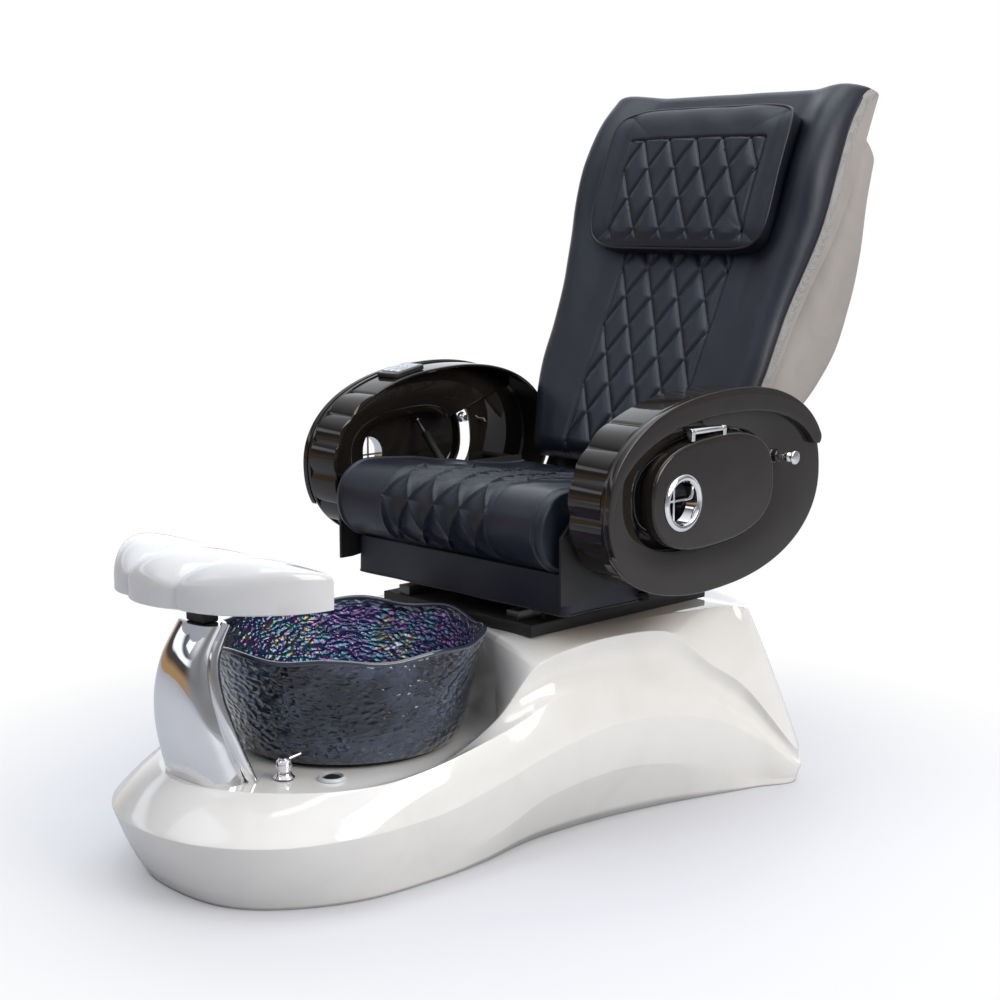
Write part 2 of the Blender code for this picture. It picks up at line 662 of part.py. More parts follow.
def make_deck_fittings(chrome, rubber, pale, black):
    """The mixer with its lever, and the air button in its bezel, both with what they need under the deck."""
    place = (MIXER_X, MIXER_Y, DECK_Z + GAP)
    outside, inside = MIXER_R + 0.003, SHANK_R + 0.0005
    washer = [(outside, WASHER_H), (outside, 0), (inside, 0), (inside, WASHER_H)]
    turned("mixer_gasket", washer, place, finish=rubber, ring=True)
    h = WASHER_H + GAP
    body = [
        (0, h + MIXER_H), (MIXER_R - 0.001, h + MIXER_H), (MIXER_R - 0.004, h + MIXER_H * 0.55),
        (MIXER_R - 0.002, h + MIXER_H * 0.2), (MIXER_R, h), (SHANK_R, h), (SHANK_R, -SHANK_DEPTH), (0, -SHANK_DEPTH),
    ]
    turned("mixer_body", body, place, finish=chrome)
    top = place[2] + h + MIXER_H + GAP
    axis = pivot("mixer_axis", (MIXER_X, MIXER_Y, top))
    cap = [(0, 0.011), (0.008, 0.010), (MIXER_R, 0.005), (MIXER_R, 0), (0, 0)]
    lever = turned("mixer_lever", cap, (MIXER_X, MIXER_Y, top), finish=chrome)
    reach = Vector((sin(radians(LEVER_TURN)), cos(radians(LEVER_TURN)), 0.25)) * LEVER_LENGTH
    root = Vector((MIXER_X, MIXER_Y, top + 0.005))
    join(lever, rod("lever_arm", root, root + reach, 0.0035, tip=0.0025, segments=12))
    hang(axis, lever)
    place = (BUTTON_X, BUTTON_Y, DECK_Z + GAP)
    bezel = [
        (BUTTON_R + 0.003, BEZEL_H), (BEZEL_R, 0.002), (BEZEL_R, 0), (BUTTON_R + 0.0015, 0),
        (BUTTON_R + 0.0005, BEZEL_H),
    ]
    turned("air_button_bezel", bezel, place, finish=pale, ring=True)
    dome = [(0, 0.011), (0.009, 0.0098), (0.014, 0.007), (BUTTON_R, 0.003), (BUTTON_R, 0), (0, 0)]
    axis = pivot("button_axis", (BUTTON_X, BUTTON_Y, DECK_Z))
    foot = DECK_Z - SHELL_WALL + BUTTON_TRAVEL + GAP
    hang(axis, turned("air_button", dome, (BUTTON_X, BUTTON_Y, foot), finish=black))
    under = DECK_Z - SHELL_WALL - GAP
    rod("air_switch", (BUTTON_X, BUTTON_Y, under - 0.032), (BUTTON_X, BUTTON_Y, under), BUTTON_R + 0.006, black)


def pad_section(x):
    """The footrest pad's outline (y, z) at a distance x from its middle.

    Seen from above the pad is half an ellipse with its straight side to the rear. Three lobes lie side by
    side on it, and its wall grows higher towards both ends.
    """
    from_middle = abs(x)
    outside = max(0, from_middle - LOBE_PITCH) / (PAD_HALF_LENGTH - LOBE_PITCH)
    inside = abs(from_middle - LOBE_PITCH * (from_middle > LOBE_PITCH / 2)) / (LOBE_PITCH / 2)
    share = outside if from_middle > LOBE_PITCH else inside
    swell = max(0, 1 - share**2) ** 0.5
    reach = max(0, 1 - (x / PAD_HALF_LENGTH) ** 2) ** 0.5
    depth = (PAD_REAR_Y - PAD_FRONT_Y - PAD_SCALLOP * (1 - swell)) * reach
    rise = min(1, outside * 1.4) ** 2
    front_wall = PAD_FRONT_WALL + (PAD_END_WALL - PAD_FRONT_WALL) * rise
    crest = PAD_END_WALL + (PAD_CREST - PAD_END_WALL) * swell
    if from_middle < LOBE_PITCH:
        crest = PAD_CREST - PAD_GROOVE * (1 - swell)
    dome = crest - (front_wall + PAD_END_WALL) / 2
    front = PAD_REAR_Y - depth
    outline = [(front, PAD_BOTTOM_Z), (PAD_REAR_Y, PAD_BOTTOM_Z)]
    for angle in np.linspace(0, pi, 13):
        from_front = (1 + cos(angle)) / 2
        wall = front_wall + (PAD_END_WALL - front_wall) * from_front
        arch = sin(pi * from_front**PAD_LEAN) ** 0.8
        outline.append((front + depth * from_front, PAD_BOTTOM_Z + wall + dome * arch))
    return outline


def make_footrest(chrome, white, steel):
    loops = []
    turns = np.arange(28) * 360 / 28
    for z, y, half_width, half_depth in POST_STATIONS:
        ring = oval((0, y), half_width, half_depth, 2.4, 0, turns)
        loops.append([(x, depth, z) for x, depth in ring])
    loft("footrest_post", loops, chrome)
    head = box(
        "footrest_head", (-HEAD_WIDTH / 2, TILT_Y - 0.016, POST_TOP_Z + GAP),
        (HEAD_WIDTH / 2, TILT_Y + 0.016, TILT_Z + 0.012), steel,
    )
    add_bevel(head, 0.003)
    lug_in, lug_out = HEAD_WIDTH / 2 + GAP, HEAD_WIDTH / 2 + GAP + 0.010
    ends = [Vector((side * (lug_out + 0.004), TILT_Y, TILT_Z)) for side in (-1, 1)]
    cut(head, rod("head_bore", *ends, TILT_PIN_R + GAP))
    rod("footrest_pin", *ends, TILT_PIN_R, chrome)
    count = PAD_STEPS
    stations = [PAD_HALF_LENGTH * (2 * i / count - 1) for i in range(count + 1)]
    stations[0] += PAD_END_FLAT
    stations[-1] -= PAD_END_FLAT
    pad = loft("footrest_pad", [[(x, y, z) for y, z in pad_section(x)] for x in stations], white)
    lugs = []
    for side in (-1, 1):
        low, high = sorted((side * lug_in, side * lug_out))
        lugs.append(box(
            "lug", (low, TILT_Y - 0.012, TILT_Z - 0.012), (high, TILT_Y + 0.012, PAD_BOTTOM_Z + 0.01),
        ))
    join(pad, *lugs)
    cut(pad, rod("lug_bore", *ends, TILT_PIN_R + GAP))
    hang(pivot("tilt_axis", (0, TILT_Y, TILT_Z)), pad)


# ---------------------------------------------------------------- seat and its slide


def lug_outline(y, z, radius, foot):
    """A lug's outline (y, z): straight sides up from its foot and a half round head about its hole."""
    head = [(y + radius * cos(turn), z + radius * sin(turn)) for turn in np.linspace(0, pi, 9)]
    return [(y + radius, foot)] + head + [(y - radius, foot)]


def make_slide(steel, bright, black):
    """The plate and rails on the base, the carriage that runs on them, and the drive between them."""
    wide, wall, rail_foot = PLATE_HALF_WIDTH, PLATE_WALL, PLATE_Z + PLATE_THICK
    tray = box("pedestal_plate", (-wide, PLATE_FRONT_Y, PLATE_Z), (wide, PLATE_REAR_Y, rail_foot), steel)
    cut(tray, box(
        "tray_hollow", (wall - wide, PLATE_FRONT_Y + wall, PLATE_Z - PAST),
        (wide - wall, PLATE_REAR_Y - wall, rail_foot - wall),
    ))
    half = RAIL_WIDTH / 2
    for name, side in (("slide_rail_left", 1), ("slide_rail_right", -1)):
        x = side * RAIL_X
        box(name, (x - half, PLATE_FRONT_Y + 0.005, RAIL_Z), (x + half, PLATE_REAR_Y - 0.005, RAIL_Z + RAIL_H), bright)
    top = CARRIAGE_Z + CARRIAGE_THICK
    wide = CARRIAGE_HALF_WIDTH
    carriage = box("seat_carriage", (-wide, CARRIAGE_FRONT_Y, CARRIAGE_Z), (wide, CARRIAGE_REAR_Y, top), black)
    reach = FRAME_X + FRAME_THICK
    added, removed = [], []
    for front, rear in FRAME_LEGS:
        added.append(box("arm", (-reach, front, CARRIAGE_Z), (reach, rear, top - 0.0001)))
    for side in (-1, 1):
        x, wall = side * RAIL_X, half + 0.0005
        wide = wall + RUNNER_WALL
        added.append(box(
            "runner", (x - wide, RUNNER_FRONT_Y, RAIL_Z + 0.004), (x + wide, RUNNER_REAR_Y, top - 0.002),
        ))
        removed.append(box(
            "groove", (x - wall, RUNNER_FRONT_Y - PAST, RAIL_Z - PAST), (x + wall, RUNNER_REAR_Y + PAST, RUNNER_Z),
        ))
    y, z = ACTUATOR_FOOT
    cheek = EYE_HALF + CLEVIS_GAP
    added.append(box("tongue", (-0.030, CARRIAGE_REAR_Y - 0.01, CARRIAGE_Z), (0.030, y + 0.020, top - 0.0001)))
    for side in (-1, 1):
        low, high = sorted((side * cheek, side * (cheek + CLEVIS_THICK)))
        added.append(plate("cheek", lug_outline(y, z, CLEVIS_R, top - 0.002), "X", low, high))
    pin_end = cheek + CLEVIS_THICK - OVERLAP
    added.append(rod("clevis_pin", (-pin_end, y, z), (pin_end, y, z), CLEVIS_PIN_R))
    join(carriage, *added)
    cut(carriage, *removed)
    middle = (PLATE_Z + PLATE_THICK + CARRIAGE_Z) / 2
    tube = rod("slide_motor_tube", (0, SLIDE_TUBE_FRONT, middle), (0, SLIDE_TUBE_REAR, middle), SLIDE_TUBE_R, black)
    join(tube, box("saddle", (-0.008, 0.02, RAIL_Z), (0.008, 0.06, middle - 0.006)))
    cut(tube, rod(
        "tube_bore", (0, SLIDE_TUBE_FRONT - PAST, middle), (0, SLIDE_TUBE_REAR - 0.01, middle), SLIDE_ROD_R + 0.0005,
    ))
    front = CARRIAGE_FRONT_Y + 0.025
    end = SLIDE_TUBE_FRONT + 0.12
    drive = rod("slide_drive_rod", (0, front + 0.005, middle), (0, end, middle), SLIDE_ROD_R, bright)
    join(drive, box("drive_bracket", (-0.01, front, middle - 0.008), (0.01, front + 0.020, CARRIAGE_Z - GAP)))


def seat_profile():
    """The seat's outline (y, z) from side on: under the roll, round its front, over the top and down the rear.

    The first list is sewn, with a point every half quilt pitch; the second is the hidden underside.
    """
    step = QUILT_PITCH / 2
    arc = radians(170)
    count = round(ROLL_R * arc / step)
    sewn = []
    for i in range(count + 1):
        angle = radians(262) - arc * i / count
        sewn.append((ROLL_Y + ROLL_R * cos(angle), ROLL_Z + ROLL_R * sin(angle)))
    crest = sewn[-1]
    flat = round((SEAT_REAR_Y - 0.02 - crest[0]) / step)
    for i in range(1, flat + 1):
        share = i / flat
        dip = share * share * (3 - 2 * share)
        sewn.append((crest[0] + share * (SEAT_REAR_Y - 0.02 - crest[0]), crest[1] + dip * (SEAT_REAR_Z - crest[1])))
    hidden = [
        (SEAT_REAR_Y - 0.004, SEAT_REAR_Z - 0.008), (SEAT_REAR_Y, SEAT_REAR_Z - 0.024), (SEAT_REAR_Y, SEAT_Z),
        (ROLL_Y + 0.012, SEAT_Z), (ROLL_Y - 0.004, SEAT_Z + 0.020), (ROLL_Y - 0.006, ROLL_Z - ROLL_R - 0.004),
    ]
    return sewn, hidden


def quilt_dip(i, j, x):
    """How far a sewn point is drawn in: the tufts lie on a diamond lattice inside the quilted band."""
    if abs(x) > QUILT_HALF_WIDTH + 0.001:
        return 0
    return QUILT_DEPTH if (i + j) % 2 == 0 else 0


def band_stations(half_width, shares):
    """Distances across a cushion: every half pitch in the quilted band, then shares of the way to its edge."""
    count = round(QUILT_HALF_WIDTH / (QUILT_PITCH / 2))
    band = [i * QUILT_PITCH / 2 for i in range(count + 1)]
    edge = [QUILT_HALF_WIDTH + share * (half_width - QUILT_HALF_WIDTH) for share in shares]
    right = band + edge
    return [-x for x in reversed(right[1:])] + right


def make_seat(leather, board):
    half = SEAT_HALF_WIDTH - 0.010
    box("seat_pan", (-half, ROLL_Y + 0.002, PAN_Z), (half, SEAT_REAR_Y - 0.005, PAN_Z + PAN_THICK), board)
    sewn, hidden = seat_profile()
    stations = band_stations(SEAT_HALF_WIDTH, (0.15, 0.45, 0.75, 0.90, 0.97, 1.0))
    middle = np.array([-0.14, 0.52])
    loops = []
    for j, x in enumerate(stations):
        edge = max(0, abs(x) / SEAT_HALF_WIDTH - 0.93) / 0.07
        draw = 0.012 * edge**2
        crown = SEAT_CROWN * (1 - (x / SEAT_HALF_WIDTH) ** 2)
        loop = []
        for i, point in enumerate(sewn):
            point = np.array(point)
            if i <= len(sewn) - 3:
                ahead, behind = np.array(sewn[i + 1]), np.array(sewn[max(i - 1, 0)])
                along = (ahead - behind) / np.linalg.norm(ahead - behind)
                out = np.array([-along[1], along[0]])
                point = point + out * ((crown if i > 3 else 0) - quilt_dip(i, j, x))
            inward = (middle - point) / np.linalg.norm(middle - point)
            loop.append((x, *(point + inward * draw)))
        for point in hidden:
            loop.append((x, *point))
        loops.append(loop)
    loft("seat_cushion", loops, leather)
    inner, thick = SEAT_HALF_WIDTH + 2 * GAP, VALANCE_THICK
    front = ROLL_Y - 0.008
    outline = [
        (inner + thick, VALANCE_REAR_Y), (inner + thick, front - thick), (-inner - thick, front - thick),
        (-inner - thick, VALANCE_REAR_Y), (-inner, VALANCE_REAR_Y), (-inner, front), (inner, front),
        (inner, VALANCE_REAR_Y),
    ]
    plate("seat_valance", outline, "Z", VALANCE_FOOT_Z, ROLL_Z - ROLL_R - 0.003, leather)


def make_side_frame(name, side, steel):
    """The steel cheek beside the seat: it stands on the carriage and carries one armrest and the back's pivot."""
    (front, front_end), (rear_start, rear) = FRAME_LEGS
    foot, bar = FRAME_FOOT_Z, FRAME_FOOT_Z + 0.030
    outline = [
        (front, foot), (front_end, foot), (front_end, bar), (rear_start, bar), (rear_start, foot), (rear, foot),
        (rear + 0.010, 0.520), (rear, FRAME_HEAD_Z), (FRAME_FRONT_Y + 0.040, FRAME_HEAD_Z), (FRAME_FRONT_Y, 0.560),
        (FRAME_FRONT_Y, 0.440), (FRAME_FRONT_Y + 0.030, 0.440), (front - 0.020, bar + 0.010),
    ]
    frame = plate(name, outline, "X", side * FRAME_X, side * (FRAME_X + FRAME_THICK), steel)
    reach = ARM_OUTER_X - ARM_PLATE - GAP
    added = []
    for y, z in BOSSES:
        added.append(rod("boss", (side * (FRAME_X + OVERLAP), y, z), (side * reach, y, z), BOSS_R))
    foot_point, along = stay_line(side)
    x, y, z = STAY_FOOT
    tube_start = foot_point - along * 0.018
    added.append(rod("stay_tube", tube_start, foot_point + along * STAY_TUBE, STAY_TUBE_R, segments=16))
    added.append(box(
        "stay_bracket", *corners(side, FRAME_X + OVERLAP, x + 0.002, y - 0.010, y + 0.010, z - 0.022, z + 0.004),
    ))
    join(frame, *added)
    cut(
        frame,
        rod(
            "pivot_bore", (side * (FRAME_X - PAST), PIVOT_Y, PIVOT_Z),
            (side * (FRAME_X + FRAME_THICK + PAST), PIVOT_Y, PIVOT_Z), PIVOT_R + GAP,
        ),
        rod("stay_bore", foot_point + along * 0.006, foot_point + along * (STAY_TUBE + 0.01), STAY_R + 0.0005),
    )


def corners(side, x0, x1, y0, y1, z0, z1):
    """Low and high corners of a box that is x0 to x1 from the middle plane, on one side."""
    low, high = sorted((side * x0, side * x1))
    return (low, y0, z0), (high, y1, z1)


def stay_line(side):
    x, y, z = STAY_FOOT
    return Vector((side * x, y, z)), Vector((side * cos(radians(STAY_RISE)), 0, sin(radians(STAY_RISE))))


# ---------------------------------------------------------------- back


def back_half_width(u):
    return float(np.interp(u, *zip(*BACK_WIDTHS)))


def back_front(x, u):
    """How far out of the back (n) its leather lies, before quilting: level in the middle, then a bolster."""
    stations, middle, crest, edge = zip(*BACK_FACE)
    middle, crest, edge = (float(np.interp(u, stations, values)) for values in (middle, crest, edge))
    half = back_half_width(u)
    peak = half - BOLSTER_INSET
    start = min(BOLSTER_START, peak - 0.040)
    if abs(x) < start:
        return middle
    if abs(x) < peak:
        share = (abs(x) - start) / (peak - start)
        return middle + (crest - middle) * share**2 * (3 - 2 * share)
    share = min(1, (abs(x) - peak) / BOLSTER_INSET)
    return crest - (crest - edge) * (1 - (1 - share**2) ** 0.5)


def back_grid():
    """Points (x, u, n) over the cushion's face: one list of points up the back for each seam-to-seam column."""
    step = QUILT_PITCH / 2
    length = BACK_HEAD_U - BACK_FOOT_U - 2 * BACK_END
    count = round(length / step)
    columns = []
    for j, mark in enumerate(band_stations(1.0, BACK_SHARES)):
        column = []
        for i in range(count + 1):
            u = BACK_FOOT_U + BACK_END + length * i / count
            x = mark
            if abs(mark) > QUILT_HALF_WIDTH:
                share = (abs(mark) - QUILT_HALF_WIDTH) / (1 - QUILT_HALF_WIDTH)
                x = np.sign(mark) * (QUILT_HALF_WIDTH + share * (back_half_width(u) - QUILT_HALF_WIDTH))
            column.append((x, u, back_front(x, u) - quilt_dip(i, j, x)))
        columns.append(column)
    return columns


def make_back_cushion(leather, under):
    loops = []
    for column in back_grid():
        x_foot, x_head = column[0][0], column[-1][0]
        widths = [(u, x) for x, u, n in column]
        loop = [(x_foot, column[0][1], column[0][2] - BACK_ROLL)] + column[1:-1]
        loop += [(x_head, column[-1][1], column[-1][2] - BACK_ROLL), (x_head, BACK_HEAD_U, CUSHION_N + 0.026)]
        for u in (BACK_HEAD_U, 0.650, 0.450, 0.270, BACK_FOOT_U):
            loop.append((float(np.interp(u, *zip(*widths))), u, CUSHION_N))
        loop.append((x_foot, BACK_FOOT_U, CUSHION_N + 0.018))
        loops.append(loop)
    loft("back_cushion", loops, leather, under)


def make_pillow(leather, under):
    """The head pillow: its back follows the cushion's face, and its edges are drawn in to a seam."""
    loops = []
    for column in back_grid():
        if abs(column[-1][0]) > PILLOW_HALF_WIDTH:
            continue
        rows = [point for point in column if PILLOW_FOOT_U < point[1] < PILLOW_HEAD_U]
        across = min(1, abs(column[-1][0]) / (PILLOW_HALF_WIDTH - 0.001))
        front = []
        for i, (x, u, n) in enumerate(rows):
            rise = i / (len(rows) - 1)
            seam = PILLOW_SEAMS[0] + rise * (PILLOW_SEAMS[1] - PILLOW_SEAMS[0])
            swell = (1 - across**4) ** 0.5 * (1 - (2 * rise - 1) ** 4) ** 0.5
            front.append((x, u, back_front(x, u) + seam + (PILLOW_THICK - PILLOW_SEAMS[0]) * swell))
        back = [(x, u, back_front(x, u) + 3 * GAP) for x, u, n in rows]
        loops.append(front + back[::-1])
    loft("head_pillow", loops, leather, under)


def shell_slab(name, inset, foot, head, front_n, finish=None, under=None):
    """A slab behind the cushion with rounded rear corners, as deep as the shell, less an inset all round."""
    loops = []
    for u in [foot] + [station for station, _ in BACK_SHELL_DEPTHS if foot < station < head] + [head]:
        half = back_half_width(u) - BACK_SHELL_INSET - inset
        rear = CUSHION_N - GAP - float(np.interp(u, *zip(*BACK_SHELL_DEPTHS))) + inset
        corner = BACK_SHELL_CORNER - inset
        side = [(half, front_n)]
        for angle in np.radians([0, 22, 45, 68, 90]):
            side.append((half - corner + corner * cos(angle), rear + corner - corner * sin(angle)))
        loop = [(x, u, n) for x, n in side] + [(-x, u, n) for x, n in reversed(side)]
        loops.append(loop)
    return loft(name, loops, finish, under)


def make_back_shell(grey, under):
    shell = shell_slab("back_shell", 0, SHELL_FOOT_U, SHELL_HEAD_U, CUSHION_N - GAP, grey, under)
    foot, head = SHELL_FOOT_U - 0.05, SHELL_HEAD_U - BACK_SHELL_WALL
    hollow = shell_slab("shell_hollow", BACK_SHELL_WALL, foot, head, CUSHION_N + 0.02, under=under)
    cut(shell, hollow)


def make_back_frame(steel, under):
    """The tube frame inside the back, with the arms and pins it turns on and the actuator's fork."""
    bar_n, bar_x, bar_r = FRAME_BAR_N, FRAME_BAR_X, FRAME_BAR_R
    end = ARM_X + 0.003
    ends = (-end, CROSSBAR_U, CROSSBAR_N), (end, CROSSBAR_U, CROSSBAR_N)
    frame = rod("back_frame", *ends, CROSSBAR_R, steel, under)
    added = []
    width = 0.013
    for side in (-1, 1):
        outline = []
        lean = np.arctan2(CROSSBAR_N, CROSSBAR_U)
        for angle in np.linspace(90, 270, 5):
            turn = radians(angle) + lean
            outline.append((width * cos(turn), width * sin(turn)))
        for angle in np.linspace(-90, 90, 5):
            turn = radians(angle) + lean
            outline.append((CROSSBAR_U + width * cos(turn), CROSSBAR_N + width * sin(turn)))
        added.append(plate("arm", outline, "X", side * ARM_X, side * (ARM_X + ARM_THICK), under=under))
        pin_start, pin_end = ARM_X + OVERLAP, FRAME_X + FRAME_THICK + 0.001
        added.append(rod("pivot_pin", (side * pin_start, 0, 0), (side * pin_end, 0, 0), PIVOT_R, under=under))
        x = side * bar_x
        bar_foot, bar_head = (x, CROSSBAR_U, CROSSBAR_N), (x, FRAME_BAR_HEAD_U, bar_n)
        added.append(rod("bar", bar_foot, bar_head, bar_r, under=under))
        for u in STANDOFFS:
            ends = (x, u, bar_n), (x, u, CUSHION_N - GAP)
            added.append(rod("standoff", *ends, STANDOFF_R, under=under, segments=10))
    for u in (FORK_BAR_U, FRAME_BAR_HEAD_U - 0.010):
        added.append(rod("cross", (-bar_x, u, bar_n), (bar_x, u, bar_n), bar_r - 0.001, under=under))
    cheek = EYE_HALF + CLEVIS_GAP
    for side in (-1, 1):
        low, high = sorted((side * cheek, side * (cheek + CLEVIS_THICK)))
        added.append(box(
            "fork", (low, ACTUATOR_HEAD_U - 0.012, ACTUATOR_HEAD_N - 0.011),
            (high, FORK_BAR_U + 0.0035, ACTUATOR_HEAD_N + 0.0145), under=under,
        ))
    join(frame, *added)
    hole = [(side * 0.03, ACTUATOR_HEAD_U, ACTUATOR_HEAD_N) for side in (-1, 1)]
    cut(frame, rod("fork_bore", *hole, CLEVIS_PIN_R + 0.001, under=under))


def make_massage_unit(steel, bright, rubber, under):
    """Two tracks up the inside of the back, the carriage that climbs them and its kneading rollers."""
    foot, head = TRACK_FOOT_U, TRACK_HEAD_U
    tracks = rod("massage_tracks", (-TRACK_X, foot, TRACK_N), (-TRACK_X, head, TRACK_N), TRACK_R, bright, under)
    added = [rod("track", (TRACK_X, foot, TRACK_N), (TRACK_X, head, TRACK_N), TRACK_R, under=under)]
    edge = FRAME_BAR_X - FRAME_BAR_R - GAP
    for u in (foot, head):
        low, high = (-edge, u - 0.008, TRACK_N - 0.004), (edge, u + 0.008, TRACK_N + 0.004)
        added.append(box("tie", low, high, under=under))
    join(tracks, *added)
    half = MASSAGE_LENGTH / 2
    carriage = box(
        "massage_carriage", (-MASSAGE_HALF_WIDTH, MASSAGE_U - half, MASSAGE_REAR_N),
        (MASSAGE_HALF_WIDTH, MASSAGE_U + half, MASSAGE_FRONT_N), steel, under,
    )
    ears, bores = [], []
    for side in (-1, 1):
        low, high = sorted((side * EAR_X, side * (EAR_X + EAR_THICK)))
        ears.append(box(
            "ear", (low, MASSAGE_U - 0.009, MASSAGE_FRONT_N - 0.002),
            (high, MASSAGE_U + 0.009, ROLLER_N + 0.009), under=under,
        ))
        x = side * TRACK_X
        ends = (x, MASSAGE_U - MASSAGE_LENGTH, TRACK_N), (x, MASSAGE_U + MASSAGE_LENGTH, TRACK_N)
        bores.append(rod("track_bore", *ends, TRACK_R + 0.0005, under=under))
    bores.append(rod("axle_bore", (-0.1, MASSAGE_U, ROLLER_N), (0.1, MASSAGE_U, ROLLER_N), AXLE_R + 0.0004, under=under))
    join(carriage, *ears)
    cut(carriage, *bores)
    near, far, end = ROLLER_X - ROLLER_WIDTH / 2, ROLLER_X + ROLLER_WIDTH / 2, EAR_X + EAR_THICK + 0.004
    side, axle, full = ROLLER_R - 0.003, AXLE_R, ROLLER_R
    upper = [
        (0, end), (axle, end), (axle, far), (side, far), (full, far - 0.004), (full, near + 0.004),
        (side, near), (axle, near),
    ]
    profile = upper + [(radius, -height) for radius, height in reversed(upper)]
    turned("massage_rollers", profile, (0, MASSAGE_U, ROLLER_N), "X", rubber, under, 16)


def make_actuator(black, bright):
    """The recline actuator: its tube turns on the carriage, and its rod reaches the fork on the back's frame."""
    y, z = ACTUATOR_FOOT
    foot = Vector((0, y, z))
    lean = radians(BACK_LEAN)
    head = Vector((
        0, PIVOT_Y + ACTUATOR_HEAD_U * sin(lean) - ACTUATOR_HEAD_N * cos(lean),
        PIVOT_Z + ACTUATOR_HEAD_U * cos(lean) + ACTUATOR_HEAD_N * sin(lean),
    ))
    along = (head - foot).normalized()
    across = Vector((EYE_HALF, 0, 0))
    start, end = foot + along * ACTUATOR_START, foot + along * ACTUATOR_BODY
    tube = rod("recline_actuator_tube", start, end, ACTUATOR_R, black)
    neck = box("neck", (-EYE_HALF + OVERLAP, y - 0.007, z), (EYE_HALF - OVERLAP, y + 0.009, z + ACTUATOR_START + 0.010))
    join(tube, rod("eye", foot - across, foot + across, EYE_R), neck)
    cut(
        tube, rod("eye_bore", foot - across * 3, foot + across * 3, CLEVIS_PIN_R + GAP),
        rod("rod_bore", foot + along * 0.030, foot + along * (ACTUATOR_BODY + 0.02), ACTUATOR_ROD_R + 0.0005),
    )
    shaft = rod("recline_actuator_rod", foot + along * ACTUATOR_ROD_START, head - along * 0.004, ACTUATOR_ROD_R, bright)
    join(shaft, rod("rod_eye", head - across, head + across, EYE_R))
    cut(shaft, rod("rod_eye_bore", head - across * 3, head + across * 3, CLEVIS_PIN_R + 0.001))
    hang(pivot("actuator_axis", foot), tube, shaft)


# ---------------------------------------------------------------- armrests


def arm_outline(inset=0.0, ribbed=False):
    """The armrest's oval; ribs are half-round swellings along its front wall."""
    rib_end = RIB_START + RIB_SPAN * RIB_COUNT
    plain = np.concatenate([np.arange(rib_end + 12, 361, 12), np.arange(12, RIB_START - 4, 12)])
    fine = RIB_START + np.arange(RIB_COUNT * 4 + 1) * RIB_SPAN / 4
    angles = np.concatenate([fine, plain])
    size = (ARM_HALF_LENGTH - inset, ARM_HALF_HEIGHT - inset)
    points = oval((ARM_Y, ARM_Z), *size, OVAL_POWER, ARM_TILT, angles)
    if ribbed:
        outer = oval((ARM_Y, ARM_Z), size[0] + RIB_H, size[1] + RIB_H, OVAL_POWER, ARM_TILT, angles)
        phase = (angles - RIB_START) / RIB_SPAN
        inside = (phase >= 0) & (phase <= RIB_COUNT)
        swell = np.where(inside, abs(np.sin(pi * phase)), 0)[:, None]
        points = points * (1 - swell) + outer * swell
    return points


def tray_outline(length_margin=0.0, height_margin=0.0):
    size = (TRAY_HALF_LENGTH + length_margin, TRAY_HALF_HEIGHT + height_margin)
    return oval((TRAY_Y, TRAY_Z), *size, TRAY_POWER, ARM_TILT, np.arange(0, 360, 15))


def visor_outline():
    angles = np.linspace(VISOR_START, VISOR_END, 17)
    size = ARM_HALF_LENGTH + VISOR_OVERHANG, ARM_HALF_HEIGHT + VISOR_OVERHANG
    outer = oval((ARM_Y, ARM_Z), *size, OVAL_POWER, ARM_TILT, angles)
    width = VISOR_WIDTH * np.sin(pi * (angles + 35) / (VISOR_END + 38))
    inward = np.array([ARM_Y, ARM_Z]) - outer
    inward /= np.linalg.norm(inward, axis=1)[:, None]
    inner = outer + inward * width[:, None]
    return np.vstack([outer, inner[::-1]])


